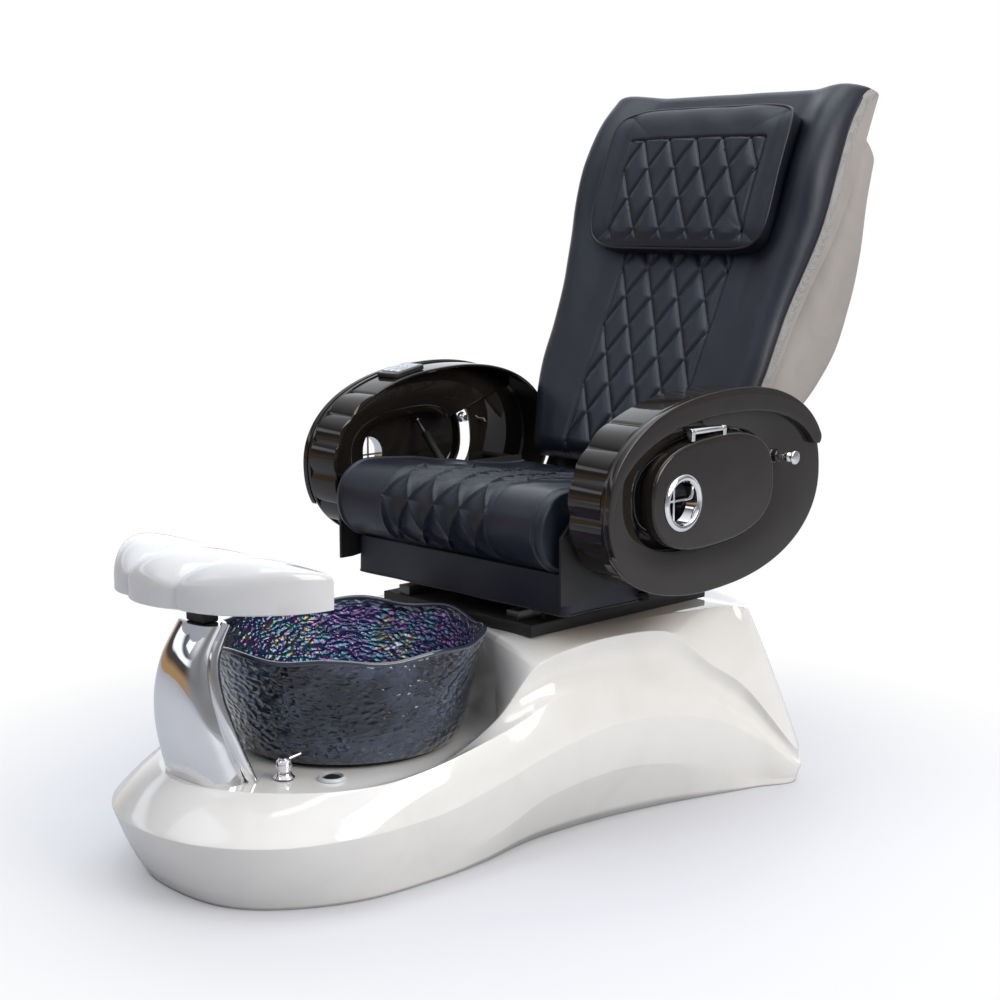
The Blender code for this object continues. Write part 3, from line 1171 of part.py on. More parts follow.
def make_armrest(word, side, black, chrome, bright):
    """One armrest: its hollow body, the visor over it, the flip-out tray with its cup ring, and the pull knob."""
    wall_in, wall_out = side * ARM_INNER_X, side * ARM_OUTER_X
    body = plate("armrest_body_" + word, arm_outline(ribbed=True), "X", wall_in, wall_out, black)
    boss_root, boss_head = ARM_OUTER_X - OVERLAP, ARM_OUTER_X + KNOB_BOSS_H
    join(body, rod("knob_boss", (side * boss_root, KNOB_Y, KNOB_Z), (side * boss_head, KNOB_Y, KNOB_Z), KNOB_BOSS_R))
    opening = tray_outline(OPENING_SIDE, OPENING_TOP)
    inside, near, far = ARM_OUTER_X - ARM_PLATE, side * (ARM_OUTER_X - 0.03), side * (ARM_OUTER_X + 0.03)
    cut(
        body,
        plate("hollow", arm_outline(ARM_WALL), "X", side * (ARM_INNER_X - 0.05), side * inside),
        plate("opening", opening, "X", near, far),
        rod("knob_bore", (near, KNOB_Y, KNOB_Z), (far, KNOB_Y, KNOB_Z), KNOB_ROD_R + GAP),
    )
    visor_in, visor_out = side * (ARM_OUTER_X + GAP), side * (ARM_OUTER_X + GAP + VISOR_THICK)
    visor = plate("armrest_visor_" + word, visor_outline(), "X", visor_in, visor_out, black)
    add_bevel(visor, 0.002, 1)
    make_tray(word, side, black, chrome)
    axis_name = "X" if side > 0 else "-X"
    grip = ARM_OUTER_X + KNOB_BOSS_H + 0.0125
    knob_end = ARM_OUTER_X - 0.030
    knob = [
        (0, grip + 0.028), (0.010, grip + 0.027), (0.0125, grip + 0.024), (0.010, grip + 0.020),
        (0.005, grip + 0.018), (0.009, grip + 0.012), (0.009, grip + 0.006), (KNOB_ROD_R, grip),
        (KNOB_ROD_R, knob_end), (0, knob_end),
    ]
    hang(pivot("knob_axis_" + word, (side * ARM_OUTER_X, KNOB_Y, KNOB_Z)),
         turned("pull_knob_" + word, knob, (0, KNOB_Y, KNOB_Z), axis_name, chrome, steps=20))
    foot, along = stay_line(side)
    end = foot + along * STAY_LENGTH
    stay = rod("tray_stay_" + word, foot + along * 0.008, end, STAY_R, bright)
    tip = bmesh.new()
    bmesh.ops.create_uvsphere(
        tip, u_segments=12, v_segments=8, radius=STAY_BALL_R, matrix=Matrix.Translation(end),
    )
    join(stay, add("stay_ball", mesh_of("stay_ball", tip)))
    hang(pivot("stay_axis_" + word, foot), stay)


def hinge_ends(side, beyond):
    """Two points on the tray's hinge line, a distance beyond both ends of its barrel."""
    reach = HINGE_LENGTH / 2 + beyond
    return (side * HINGE_X, HINGE_Y - reach, HINGE_Z), (side * HINGE_X, HINGE_Y + reach, HINGE_Z)


def make_tray(word, side, black, chrome):
    tray = plate("tray_" + word, tray_outline(), "X", side * TRAY_IN_X, side * TRAY_OUT_X, black)
    ears = []
    for end in (-1, 1):
        near = HINGE_Y + end * (HINGE_LENGTH / 2 + GAP)
        low, high = sorted((near, near + end * HINGE_EAR))
        root = HINGE_Z - 0.024
        ears.append(box("ear", *corners(side, HINGE_X - 0.0055, HINGE_X + 0.0055, low, high, root, HINGE_Z)))
        ears.append(rod("knuckle", (side * HINGE_X, low, HINGE_Z), (side * HINGE_X, high, HINGE_Z), HINGE_R))
    join(tray, *ears)
    pocket_in, pocket_out = side * (TRAY_IN_X - 0.02), side * (TRAY_OUT_X - TRAY_SKIN)
    cup_in, cup_out = side * (TRAY_IN_X - 0.03), side * (TRAY_OUT_X + 0.03)
    cut(
        tray,
        plate("pocket", tray_outline(-TRAY_RIM, -TRAY_RIM), "X", pocket_in, pocket_out),
        rod("cup_hole", (cup_in, CUP_Y, CUP_Z), (cup_out, CUP_Y, CUP_Z), CUP_R + 0.0005, segments=32),
        rod("pin_bore", *hinge_ends(side, HINGE_EAR + PAST), HINGE_PIN_R + GAP),
    )
    hinge = rod("tray_hinge_" + word, *hinge_ends(side, 0), HINGE_R, chrome)
    leaf_half = HINGE_LENGTH / 2 - 0.005
    join(
        hinge,
        rod("pin", *hinge_ends(side, HINGE_EAR), HINGE_PIN_R),
        box("leaf", *corners(
            side, ARM_OUTER_X + GAP, HINGE_X, HINGE_Y - leaf_half, HINGE_Y + leaf_half,
            HINGE_Z - 0.002, HINGE_Z + 0.003,
        )),
    )
    base, lip = TRAY_IN_X + 0.004, TRAY_OUT_X + GAP
    ring = [
        (CUP_R + CUP_LIP - 0.002, lip + 0.003), (CUP_R + CUP_LIP, lip + 0.001), (CUP_R + CUP_LIP, lip), (CUP_R, lip),
        (CUP_R, base), (CUP_R - CUP_WALL, base), (CUP_R - CUP_WALL, lip + 0.001), (CUP_R + 0.001, lip + 0.004),
    ]
    axis_name = "X" if side > 0 else "-X"
    holder = turned("cup_ring_" + word, ring, (0, CUP_Y, CUP_Z), axis_name, chrome, steps=24, ring=True)
    hang(pivot("tray_axis_" + word, (side * HINGE_X, HINGE_Y, HINGE_Z)), tray, holder)


def make_keypad(pale, grey):
    """The massage keypad, on the front of the right armrest's top, square to the oval there."""
    angles = np.array([KEYPAD_ANGLE, KEYPAD_ANGLE + 1])
    here, ahead = oval((ARM_Y, ARM_Z), ARM_HALF_LENGTH, ARM_HALF_HEIGHT, OVAL_POWER, ARM_TILT, angles)
    slope = np.arctan2(ahead[1] - here[1], here[0] - ahead[0])
    seat = pivot("keypad_seat", (-(ARM_INNER_X + ARM_OUTER_X) / 2, *here), -slope)
    half_w, half_l, thick = KEYPAD_WIDTH / 2, KEYPAD_LENGTH / 2, KEYPAD_THICK
    body = box("keypad_body", (-half_w, -half_l, KEYPAD_LIFT), (half_w, half_l, KEYPAD_LIFT + thick), grey, seat)
    top = KEYPAD_LIFT + thick
    pockets = []
    well = top - 0.004
    half, room = KEY_HALF, KEY_HALF + 0.0004
    y = -half_l + 0.020
    for i in range(KEY_COUNT):
        x = (i - (KEY_COUNT - 1) / 2) * KEY_PITCH
        pockets.append(box("key_pocket", (x - room, y - room, well), (x + room, y + room, top + PAST), under=seat))
        low, high = well + KEY_TRAVEL + GAP, top + 0.0015 + GAP
        box("keypad_key_%d" % (i + 1), (x - half, y - half, low), (x + half, y + half, high), pale, seat)
    cut(body, *pockets)


def make_cable(rubber):
    """The loop of cable on the pedestal plate."""
    radius, foot = 0.003, PLATE_Z + PLATE_THICK + GAP
    curve = bpy.data.curves.new("cable_loop", "CURVE")
    curve.dimensions = "3D"
    curve.bevel_depth = radius
    curve.bevel_resolution = 2
    curve.use_fill_caps = True
    spline = curve.splines.new("POLY")
    turns = np.linspace(0, pi, 13)
    spline.points.add(len(turns) - 1)
    for point, turn in zip(spline.points, turns):
        point.co = (CABLE_X, CABLE_Y - CABLE_LOOP * cos(turn), foot + CABLE_RISE * sin(turn), 1)
    made = bpy.data.objects.new("cable_loop", curve)
    curve.materials.append(rubber)
    bpy.data.collections[PARTS].objects.link(made)


def main():
    clear_scene()
    white = material("gloss_white", (0.86, 0.84, 0.80), 0.12)
    pad_white = material("pad_white", (0.90, 0.90, 0.90), 0.15)
    steel = material("black_steel", (0.03, 0.03, 0.03), 0.5, 0.3)
    bright = material("bright_steel", (0.6, 0.6, 0.6), 0.3, 1.0)
    chrome = material("chrome", (0.85, 0.85, 0.86), 0.05, 1.0)
    rubber = material("rubber", (0.02, 0.02, 0.02), 0.8)
    glass = material("bowl_glass", (0.10, 0.12, 0.20), 0.1)
    grey = material("grey_plastic", (0.45, 0.43, 0.42), 0.5)
    pale = material("pale_plastic", (0.75, 0.78, 0.80), 0.3)
    black = material("gloss_black", (0.010, 0.009, 0.009), 0.08)
    leather = material("black_leather", (0.020, 0.021, 0.028), 0.42)
    board = material("plywood", (0.45, 0.32, 0.18), 0.7)
    make_base_shell(white)
    make_base_frame(steel, rubber)
    make_bowl(glass, rubber, chrome, grey)
    make_deck_fittings(chrome, rubber, pale, black)
    make_footrest(chrome, pad_white, steel)
    make_slide(steel, bright, steel)
    make_seat(leather, board)
    for word, side in (("left", 1), ("right", -1)):
        make_side_frame("side_frame_" + word, side, steel)
        make_armrest(word, side, black, chrome, bright)
    make_keypad(pale, grey)
    back = pivot("recline_axis", (0, PIVOT_Y, PIVOT_Z), radians(90 - BACK_LEAN))
    make_back_frame(steel, back)
    make_back_cushion(leather, back)
    make_back_shell(grey, back)
    make_pillow(leather, back)
    make_massage_unit(steel, bright, rubber, back)
    make_actuator(steel, bright)
    make_cable(rubber)
    for made in bpy.data.objects:
        if made.parent is None:
            made.location.y -= ORIGIN_Y


main()
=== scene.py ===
"""The looks of a pedicure spa chair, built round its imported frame.

Metres, +Z up; the chair faces -Y and +X is the sitter's left. Every new piece is a surface on a grid: a
function of two parameters, or a section carried along a path.
"""

import json
from math import cos, pi, radians, sin

import bmesh
import bpy
import numpy as np
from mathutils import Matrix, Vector

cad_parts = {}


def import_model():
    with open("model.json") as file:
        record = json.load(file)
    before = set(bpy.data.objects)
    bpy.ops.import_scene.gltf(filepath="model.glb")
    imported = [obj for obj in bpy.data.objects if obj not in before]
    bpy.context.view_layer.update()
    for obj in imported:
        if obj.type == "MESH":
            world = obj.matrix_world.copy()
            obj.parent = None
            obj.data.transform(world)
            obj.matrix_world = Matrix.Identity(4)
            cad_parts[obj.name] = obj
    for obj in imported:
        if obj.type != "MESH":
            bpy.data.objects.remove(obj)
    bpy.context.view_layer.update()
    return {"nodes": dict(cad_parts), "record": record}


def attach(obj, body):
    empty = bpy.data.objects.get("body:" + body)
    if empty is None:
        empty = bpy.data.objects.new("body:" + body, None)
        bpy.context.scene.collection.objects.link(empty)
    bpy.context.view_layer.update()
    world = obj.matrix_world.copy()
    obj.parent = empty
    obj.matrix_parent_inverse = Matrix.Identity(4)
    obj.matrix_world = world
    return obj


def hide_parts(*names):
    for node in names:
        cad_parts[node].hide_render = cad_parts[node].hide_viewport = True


# Base: the creases of its left half, from the middle of the nose along the side to the middle of the rear
FRAME_SHIFT = 0.2389  # the lines below are drawn from the bowl's end; the frame's origin lies this far behind
FLOOR_LINE = [
    (0, -0.972, 0.001), (0.110, -0.955, 0.001), (0.190, -0.890, 0.001), (0.250, -0.770, 0.001),
    (0.266, -0.620, 0.001), (0.262, -0.510, 0.001), (0.243, -0.370, 0.001), (0.252, -0.210, 0.001),
    (0.280, -0.060, 0.001), (0.312, 0.050, 0.001), (0.342, 0.150, 0.001), (0.366, 0.248, 0.001),
    (0.200, 0.330, 0.001), (0, 0.345, 0.001),
]
KICK_LINE = [
    (0, -0.992, 0.030), (0.115, -0.972, 0.030), (0.198, -0.905, 0.030), (0.258, -0.780, 0.030),
    (0.275, -0.630, 0.035), (0.288, -0.510, 0.055), (0.297, -0.380, 0.098), (0.305, -0.220, 0.111),
    (0.316, -0.080, 0.095), (0.326, 0.040, 0.058), (0.342, 0.145, 0.020), (0.368, 0.251, 0.010),
    (0.201, 0.333, 0.030), (0, 0.348, 0.030),
]
LOWER_CREASE = [
    (0, -1.036, 0.125), (0.125, -1.010, 0.124), (0.228, -0.928, 0.124), (0.285, -0.800, 0.126),
    (0.302, -0.660, 0.130), (0.306, -0.520, 0.152), (0.311, -0.380, 0.184), (0.317, -0.220, 0.203),
    (0.328, -0.080, 0.192), (0.338, 0.040, 0.158), (0.352, 0.140, 0.105), (0.371, 0.254, 0.022),
    (0.203, 0.336, 0.070), (0, 0.351, 0.070),
]
DECK_EDGE = [
    (0, -0.962, 0.190), (0.085, -0.940, 0.190), (0.180, -0.870, 0.190), (0.248, -0.775, 0.192),
    (0.277, -0.660, 0.203), (0.284, -0.480, 0.234), (0.289, -0.330, 0.272), (0.296, -0.200, 0.268),
    (0.302, -0.080, 0.245), (0.318, 0.030, 0.203), (0.336, 0.125, 0.145), (0.372, 0.257, 0.034),
    (0.204, 0.338, 0.110), (0, 0.353, 0.110),
]
SHOULDER = [
    (0, -0.930, 0.190), (0.075, -0.905, 0.190), (0.160, -0.845, 0.190), (0.226, -0.750, 0.190),
    (0.252, -0.620, 0.196), (0.243, -0.468, 0.240), (0.272, -0.372, 0.338), (0.290, -0.220, 0.358),
    (0.293, -0.075, 0.345), (0.318, 0.030, 0.270), (0.338, 0.122, 0.205), (0.368, 0.256, 0.060),
    (0.200, 0.335, 0.160), (0, 0.350, 0.160),
]
TOP_EDGE = [
    (0, -0.860, 0.190), (0.060, -0.800, 0.190), (0.120, -0.720, 0.190), (0.170, -0.600, 0.190),
    (0.165, -0.440, 0.190), (0.150, -0.375, 0.200), (0.150, -0.362, 0.362), (0.230, -0.220, 0.362),
    (0.245, -0.050, 0.362), (0.268, 0.050, 0.362), (0.284, 0.120, 0.362), (0.290, 0.178, 0.352),
    (0.160, 0.238, 0.356), (0, 0.250, 0.356),
]
MIDDLE_LINE = [
    (0, -0.820, 0.190), (0, -0.760, 0.190), (0, -0.660, 0.190), (0, -0.520, 0.190), (0, -0.370, 0.190),
    (0, -0.325, 0.190), (0, -0.310, 0.362), (0, -0.200, 0.362), (0, -0.060, 0.362), (0, 0.040, 0.362),
    (0, 0.110, 0.362), (0, 0.160, 0.362), (0, 0.195, 0.362), (0, 0.225, 0.362),
]
BASE_ROWS = (5, 10, 10, 10, 10, 8)
BASE_SWELL = (0, 0.002, 0.004, -0.010, 0.004, 0)
BASE_STEPS = 12
CREASE_RADIUS, CREASE_ANGLE = 0.004, 11
FULL_SWELL_RISE = 0.05  # a band that rises less than this swells less
BASE_WALL = 0.005

# Back, in its own axes: x across, u up the back, n out of its front
PIVOT = np.array([0, 0.3489, 0.5])
LEAN = radians(27.5)
UP_BACK = np.array([0, sin(LEAN), cos(LEAN)])
OUT_OF_BACK = np.array([0, -cos(LEAN), sin(LEAN)])
BACK_FOOT, BACK_HEAD = 0.105, 0.945
BACK_REAR_N, BACK_RIM = 0.0225, 0.010
BACK_WIDTHS = [(0.105, 0.240), (0.270, 0.290), (0.450, 0.301), (0.650, 0.328), (0.945, 0.320)]
BACK_FACE = [  # (u, middle, crest of the side bolsters, edge)
    (0.105, 0.074, 0.072, 0.048), (0.270, 0.080, 0.080, 0.054), (0.450, 0.082, 0.092, 0.060),
    (0.600, 0.086, 0.110, 0.068), (0.750, 0.096, 0.138, 0.086), (0.850, 0.098, 0.132, 0.086),
    (0.945, 0.080, 0.100, 0.064),
]
BOLSTER_START, BOLSTER_INSET = 0.190, 0.040
SHELL_DEPTHS = [
    (0.200, 0.105), (0.300, 0.140), (0.380, 0.172), (0.450, 0.188), (0.560, 0.166), (0.650, 0.134),
    (0.740, 0.102), (0.855, 0.082),
]
SHELL_INSET, SHELL_CORNER, SHELL_WALL = 0.012, 0.040, 0.003
BACK_LINING_HALF, BACK_LINING_U, BACK_LINING_N = 0.252, (0.062, 0.205), -0.010
LINING_WALL = 0.002

# Head pillow, in the back's axes
PILLOW_U, PILLOW_HALF_U, PILLOW_HALF_X, PILLOW_POWER = 0.712, 0.157, 0.234, 7
PILLOW_SEAM_U = 0.790
PILLOW_GAP, PILLOW_EDGE, PILLOW_EDGE_RISE, PILLOW_PUFF = 0.0012, 0.026, 0.008, 0.020
PIPING_R, SEAM_R = 0.0036, 0.0022

# Quilting: diamonds, in metres of leather; on the back it ends behind the pillow
QUILT_WIDE, QUILT_TALL = 0.071, 0.131
QUILT_END_U = 0.600
QUILT_HALF, PILLOW_QUILT_HALF = 0.142, 0.1775
SEAM_DEPTH, PUFF = 0.0045, 0.0040
PUFF_REACH, SEAM_REACH, BORDER_REACH = 0.011, 0.0024, 0.0035  # how far each fades from its line
GUSSET_WIDE = 0.029

# Seat
SEAT_HALF = 0.2825
ROLL_Y, ROLL_Z, ROLL_R = -0.0861, 0.565, 0.074
SEAT_REAR_Y, SEAT_REAR_Z, SEAT_FOOT_Z = 0.3639, 0.592, 0.4385
SEAT_CROWN = 0.008
SEAT_REAR_ROUND, SEAT_REAR_DROP = 0.020, 0.024
VALANCE_X, VALANCE_FRONT, VALANCE_REAR, VALANCE_CORNER = 0.2848, -0.0955, 0.0969, 0.012
VALANCE_TOP, VALANCE_FOOT, VALANCE_THICK = 0.4875, 0.4145, 0.0016

# Armrests: the oval, its tray and its cup, as (y, z) in the plane of the outer plate
ARM_MIDDLE, ARM_HALF, ARM_POWER, ARM_TILT = (0.1769, 0.6235), (0.302, 0.178), 2.25, 4.0
ARM_IN, ARM_OUT = 0.319, 0.405
ARM_WALL, ARM_PLATE, ARM_FLANGE, ARM_ROUND = 0.006, 0.010, 0.003, 0.003
RIB_START, RIB_SPAN, RIB_COUNT, RIB_H = 126, 18, 5, 0.006
TRAY_MIDDLE, TRAY_HALF, TRAY_POWER = (0.1289, 0.632), (0.168, 0.098), 2.6
TRAY_IN, TRAY_OUT, TRAY_WALL, TRAY_ROUND = 0.410, 0.438, 0.006, 0.0065
VISOR_TURNS, VISOR_OVER, VISOR_WIDE, VISOR_THICK, VISOR_ROUND = (12, 200), 0.0045, 0.044, 0.0103, 0.003
LINING_TURNS, LINING_DEPTH = (34, 260), 0.0185
OPENING_MARGIN = (0.020, 0.005)
CUP_MIDDLE, CUP_R, CUP_BAR_R = (0.0389, 0.620), 0.040, 0.0022
HINGE_X, HINGE_Y, HINGE_Z, HINGE_LENGTH = 0.431, 0.1089, 0.741, 0.076
KNOB_Y, KNOB_Z = 0.3369, 0.672
KEYPAD_AT, KEYPAD_SLOPE = (-0.362, 0.08478, 0.79142), (0.18885, 0.98201)

# Bowl and deck
BOWL_Y, BOWL_Z, BOWL_HEIGHT = -0.3611, 0.1946, 0.186
DECK_Z = 0.190
BOWL_WAVES, BOWL_WAVE = 8, 0.0045
LIP_REACH, LIP_HEIGHT, LIP_R = 0.2440, 0.1905, 0.0047
POST = [  # (z, middle y, half width, half depth)
    (0.1903, -0.6651, 0.090, 0.046), (0.235, -0.6801, 0.084, 0.044), (0.290, -0.6951, 0.076, 0.040),
    (0.345, -0.7021, 0.063, 0.036), (0.400, -0.6941, 0.052, 0.032), (0.452, -0.6641, 0.050, 0.028),
]
PAD_Z, PAD_HALF, PAD_FRONT, PAD_REAR = 0.496, 0.240, -0.7811, -0.5771
PAD_FRONT_WALL, PAD_END_WALL, PAD_CREST = 0.033, 0.056, 0.083
PAD_GROOVE, PAD_SCALLOP, PAD_LEAN, LOBE_PITCH = 0.016, 0.014, 0.6, 0.138
PAD_ROUND = 0.011
PAD_WALL_REACH, PAD_SWELL_POWER, PAD_DOME_POWER = 1.4, 0.72, 0.8

# CAD nodes that still show: how near points are welded, by how much edges are rounded, and from what angle
NODE_WELD, NODE_EDGE, NODE_ANGLE = 0.00002, 0.0006, 34

# Tubes start their round section from a direction that none of them runs along
OFF_AXIS = (0.31, 0.22, 0.93)

# Camera: the photograph's
CAMERA_AT = (2.364, -2.2631, 1.119)
CAMERA_AZIMUTH, CAMERA_ELEVATION, CAMERA_LENS, CAMERA_SENSOR = 46.0, 9.39, 62.784, 36

# Stage
LAMPS = [  # name, place, size, power, colour
    ("key", (-1.3, -3.0, 3.4), 2.0, 12, (0.88, 0.94, 1.0)),
    ("fill", (3.4, 0.4, 2.3), 2.2, 80, (1.0, 0.95, 0.88)),
    ("top", (0.2, 0.2, 3.8), 2.4, 42, (0.93, 0.97, 1.0)),
]
LAMPS_LOOK_AT = (0, 0, 0.5)
FLOOR_REACH, FLOOR_FADE = 14, (0.62, 1.30)
FLOOR_SEEN, FLOOR_REFLECTED = (0.68, 0.69, 0.73), (0.50, 0.51, 0.54)
SKY = [(0.0, 0.50), (0.50, 0.30), (0.60, 0.20), (0.72, 0.28), (0.84, 0.90), (1.0, 1.0)]
SKY_TINT = (1, 1.01, 1.04)
BACKDROP, BACKDROP_WAY, BACKDROP_EDGES = (1.35, 1.4, 1.48, 1), (-0.70, 0.70, 0.10), (0.45, 0.90)
WALL_WAY, WALL_EDGES = (-0.72, -0.68, 0.10), (0.30, 0.80)
WALL = [  # (sine of the height, colour): a warm foot, a window band, then up to a bright ceiling
    (0.10, (0.40, 0.26, 0.13)), (0.22, (0.08, 0.06, 0.05)), (0.33, (0.06, 0.06, 0.06)),
    (0.37, (1.3, 1.35, 1.45)), (0.44, (1.3, 1.35, 1.45)), (0.49, (0.08, 0.08, 0.09)),
    (0.66, (0.42, 0.43, 0.46)), (0.85, (0.9, 0.93, 1.0)),
]

# Finishes
HARD_FINISHES = {  # colour, colour of its marks, roughness of both, peel strength and scale, coat, metal
    "gloss_white": ((0.86, 0.852, 0.835), (0.82, 0.808, 0.785), (0.05, 0.12), 0.05, 90.0, 0.6, 0.0),
    "pad_white": ((0.69, 0.695, 0.71), (0.65, 0.655, 0.67), (0.05, 0.12), 0.05, 90.0, 0.2, 0.0),
    "gloss_black": ((0.017, 0.014, 0.012), (0.022, 0.018, 0.016), (0.04, 0.09), 0.03, 60.0, 0.0, 0.0),
    "black_plastic": ((0.02, 0.02, 0.02), (0.03, 0.03, 0.03), (0.25, 0.4), 0.1, 400.0, 0.0, 0.0),
    "pale_plastic": ((0.62, 0.66, 0.70), (0.55, 0.58, 0.62), (0.25, 0.4), 0.05, 300.0, 0.2, 0.0),
    "grey_plastic": ((0.34, 0.316, 0.305), (0.30, 0.28, 0.27), (0.5, 0.65), 0.25, 700.0, 0.0, 0.0),
    "rubber": ((0.018, 0.018, 0.018), (0.03, 0.03, 0.03), (0.7, 0.9), 0.3, 500.0, 0.0, 0.0),
    "black_steel": ((0.009, 0.009, 0.010), (0.016, 0.016, 0.016), (0.5, 0.65), 0.3, 900.0, 0.0, 0.0),
    "lip_glass": ((0.022, 0.026, 0.046), (0.035, 0.04, 0.07), (0.03, 0.07), 0.04, 60.0, 1.0, 0.0),
    "chrome": ((0.84, 0.84, 0.86), (0.78, 0.78, 0.80), (0.03, 0.09), 0.03, 40.0, 0.0, 1.0),
    "bright_steel": ((0.16, 0.16, 0.17), (0.11, 0.11, 0.12), (0.30, 0.45), 0.3, 500.0, 0.0, 1.0),
}
LEATHERS = {  # colour, colour where worn, roughness on the grain and in its creases
    "black_leather": ((0.006, 0.007, 0.013), (0.012, 0.014, 0.027), (0.33, 0.46)),
    "piping": ((0.005, 0.005, 0.007), (0.010, 0.010, 0.013), (0.30, 0.42)),
}
LEATHER_SHEEN = (0.86, 0.92, 1.0, 1)
DIMPLE_STRETCH = (1.0, 1.0, 1.7)
BOWL_HUES = [
    (0.34, (0.02, 0.025, 0.05)), (0.55, (0.06, 0.065, 0.19)), (0.62, (0.20, 0.08, 0.26)),
    (0.70, (0.05, 0.09, 0.19)), (0.79, (0.05, 0.20, 0.24)), (0.88, (0.26, 0.20, 0.10)),
    (0.97, (0.55, 0.58, 0.66)),
]


# ---------------------------------------------------------------- surfaces


def surface(name, points, round_rows=False, round_columns=False, caps=False, sharp=40):
    """A mesh on a grid of points (rows, columns, 3). A closed direction joins its last line to its first."""
    rows, columns = points.shape[:2]
    index = np.arange(rows * columns).reshape(rows, columns)
    r = np.arange(rows if round_rows else rows - 1)[:, None]
    c = np.arange(columns if round_columns else columns - 1)[None, :]
    r_on, c_on = (r + 1) % rows, (c + 1) % columns
    quads = np.stack([index[r, c], index[r, c_on], index[r_on, c_on], index[r_on, c]], axis=-1).reshape(-1, 4)
    faces = quads.tolist()
    if caps:
        faces += [index[0, ::-1].tolist(), index[-1].tolist()]
    mesh = bpy.data.meshes.new(name)
    mesh.from_pydata(points.reshape(-1, 3).tolist(), [], faces)
    form = bmesh.new()
    form.from_mesh(mesh)
    bmesh.ops.remove_doubles(form, verts=form.verts, dist=1e-6)
    bmesh.ops.recalc_face_normals(form, faces=form.faces)
    form.to_mesh(mesh)
    form.free()
    mesh.shade_smooth()
    mesh.set_sharp_from_angle(angle=radians(sharp))
    made = bpy.data.objects.new(name, mesh)
    bpy.context.scene.collection.objects.link(made)
    return made


def bevel(made, width, angle, segments=2):
    """Rounds off every edge sharper than an angle in degrees."""
    edge = made.modifiers.new("edge", "BEVEL")
    edge.width, edge.segments, edge.limit_method, edge.angle_limit = width, segments, "ANGLE", radians(angle)


def thicken(made, thickness, offset):
    """Gives a skin its wall: behind it at an offset of -1, to both sides of it at 0."""
    wall = made.modifiers.new("wall", "SOLIDIFY")
    wall.thickness, wall.offset = thickness, offset


def face_places(made):
    """The middles and the normals of a piece's faces."""
    found = []
    for kind in ("center", "normal"):
        values = np.zeros(len(made.data.polygons) * 3)
        made.data.polygons.foreach_get(kind, values)
        found.append(values.reshape(-1, 3))
    return found


def dress(made, finish, body, slot_name, *nodes):
    """Gives a piece its material and its body, and hides the CAD nodes that it stands for; its slot name is
    not used.
    """
    made.data.materials.append(finish)
    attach(made, body)
    if nodes:
        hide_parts(*nodes)
    return made


def unit(vectors):
    """Rows of vectors brought to a length of one."""
    return vectors / np.linalg.norm(vectors, axis=1)[:, None]


def path_length(points):
    """The distance along a path at each of its points."""
    return np.concatenate([[0], np.cumsum(np.linalg.norm(np.diff(points, axis=0), axis=1))])


def cubic(t, start, start_slope, end, end_slope):
    """A cubic from one value to another, with a slope at each, for a share t of the way."""
    return (
        (2 * t**3 - 3 * t**2 + 1) * start + (t**3 - 2 * t**2 + t) * start_slope
        + (3 * t**2 - 2 * t**3) * end + (t**3 - t**2) * end_slope
    )


def smooth_table(table, at):
    """Values between a table's rows of (station, values), on a smooth curve through them."""
    table = np.array(table, float)
    stations, values = table[:, 0], table[:, 1:]
    slopes = np.gradient(values, stations, axis=0)
    i = np.clip(np.searchsorted(stations, at) - 1, 0, len(stations) - 2)
    span = stations[i + 1] - stations[i]
    t = np.clip((at - stations[i]) / span, 0, 1)[:, None]
    span = span[:, None]
    return cubic(t, values[i], span * slopes[i], values[i + 1], span * slopes[i + 1])


def smooth_line(points, steps):
    """A smooth line through points that meets the mirror plane squarely and never overshoots in height."""
    points = np.array(points, float)
    flip = np.array([-1, 1, 1])
    whole = np.vstack([points[1] * flip, points, points[-2] * flip])
    slopes = (whole[2:] - whole[:-2]) / 2
    rise = np.diff(whole[:, 2])
    limit = 2 * np.minimum(abs(rise[:-1]), abs(rise[1:]))
    slopes[:, 2] = np.where(rise[:-1] * rise[1:] > 0, np.clip(slopes[:, 2], -limit, limit), 0)
    t = (np.arange(steps) / steps)[None, :, None]
    line = cubic(t, points[:-1, None], slopes[:-1, None], points[1:, None], slopes[1:, None])
    return np.vstack([line.reshape(-1, 3), points[-1:]])


def superellipse(turns, power):
    """The two coordinates of a superellipse with half-widths of one, at angles in radians."""
    return [np.sign(value) * abs(value) ** (2 / power) for value in (np.cos(turns), np.sin(turns))]


def oval(middle, half, power, turns, tilt=ARM_TILT):
    """Points (y, z) of a superellipse at angles in degrees from its rear end over its top."""
    along, up = superellipse(np.radians(turns), power)
    along, up = half[0] * along, half[1] * up
    lean = radians(tilt)
    y = middle[0] + along * cos(lean) - up * sin(lean)
    z = middle[1] + along * sin(lean) + up * cos(lean)
    return np.stack([y, z], -1)


def inwards(outline):
    """Unit directions that point into a closed outline of (y, z) points."""
    along = unit(np.roll(outline, -1, axis=0) - np.roll(outline, 1, axis=0))
    return np.stack([-along[:, 1], along[:, 0]], -1)


def ripple(a, b, size):
    """A gentle unevenness between -1 and 1 over two coordinates: three crossing waves of unlike lengths."""
    return (
        np.sin(a * 2 * pi / size + 1.7 * np.sin(b * 2 * pi / (1.9 * size)))
        + np.sin(b * 2 * pi / (0.83 * size) + 1.3 * np.sin(a * 2 * pi / (1.4 * size)) + 0.8)
        + np.sin((a + b) * 2 * pi / (1.31 * size) + 2.1)
    ) / 3


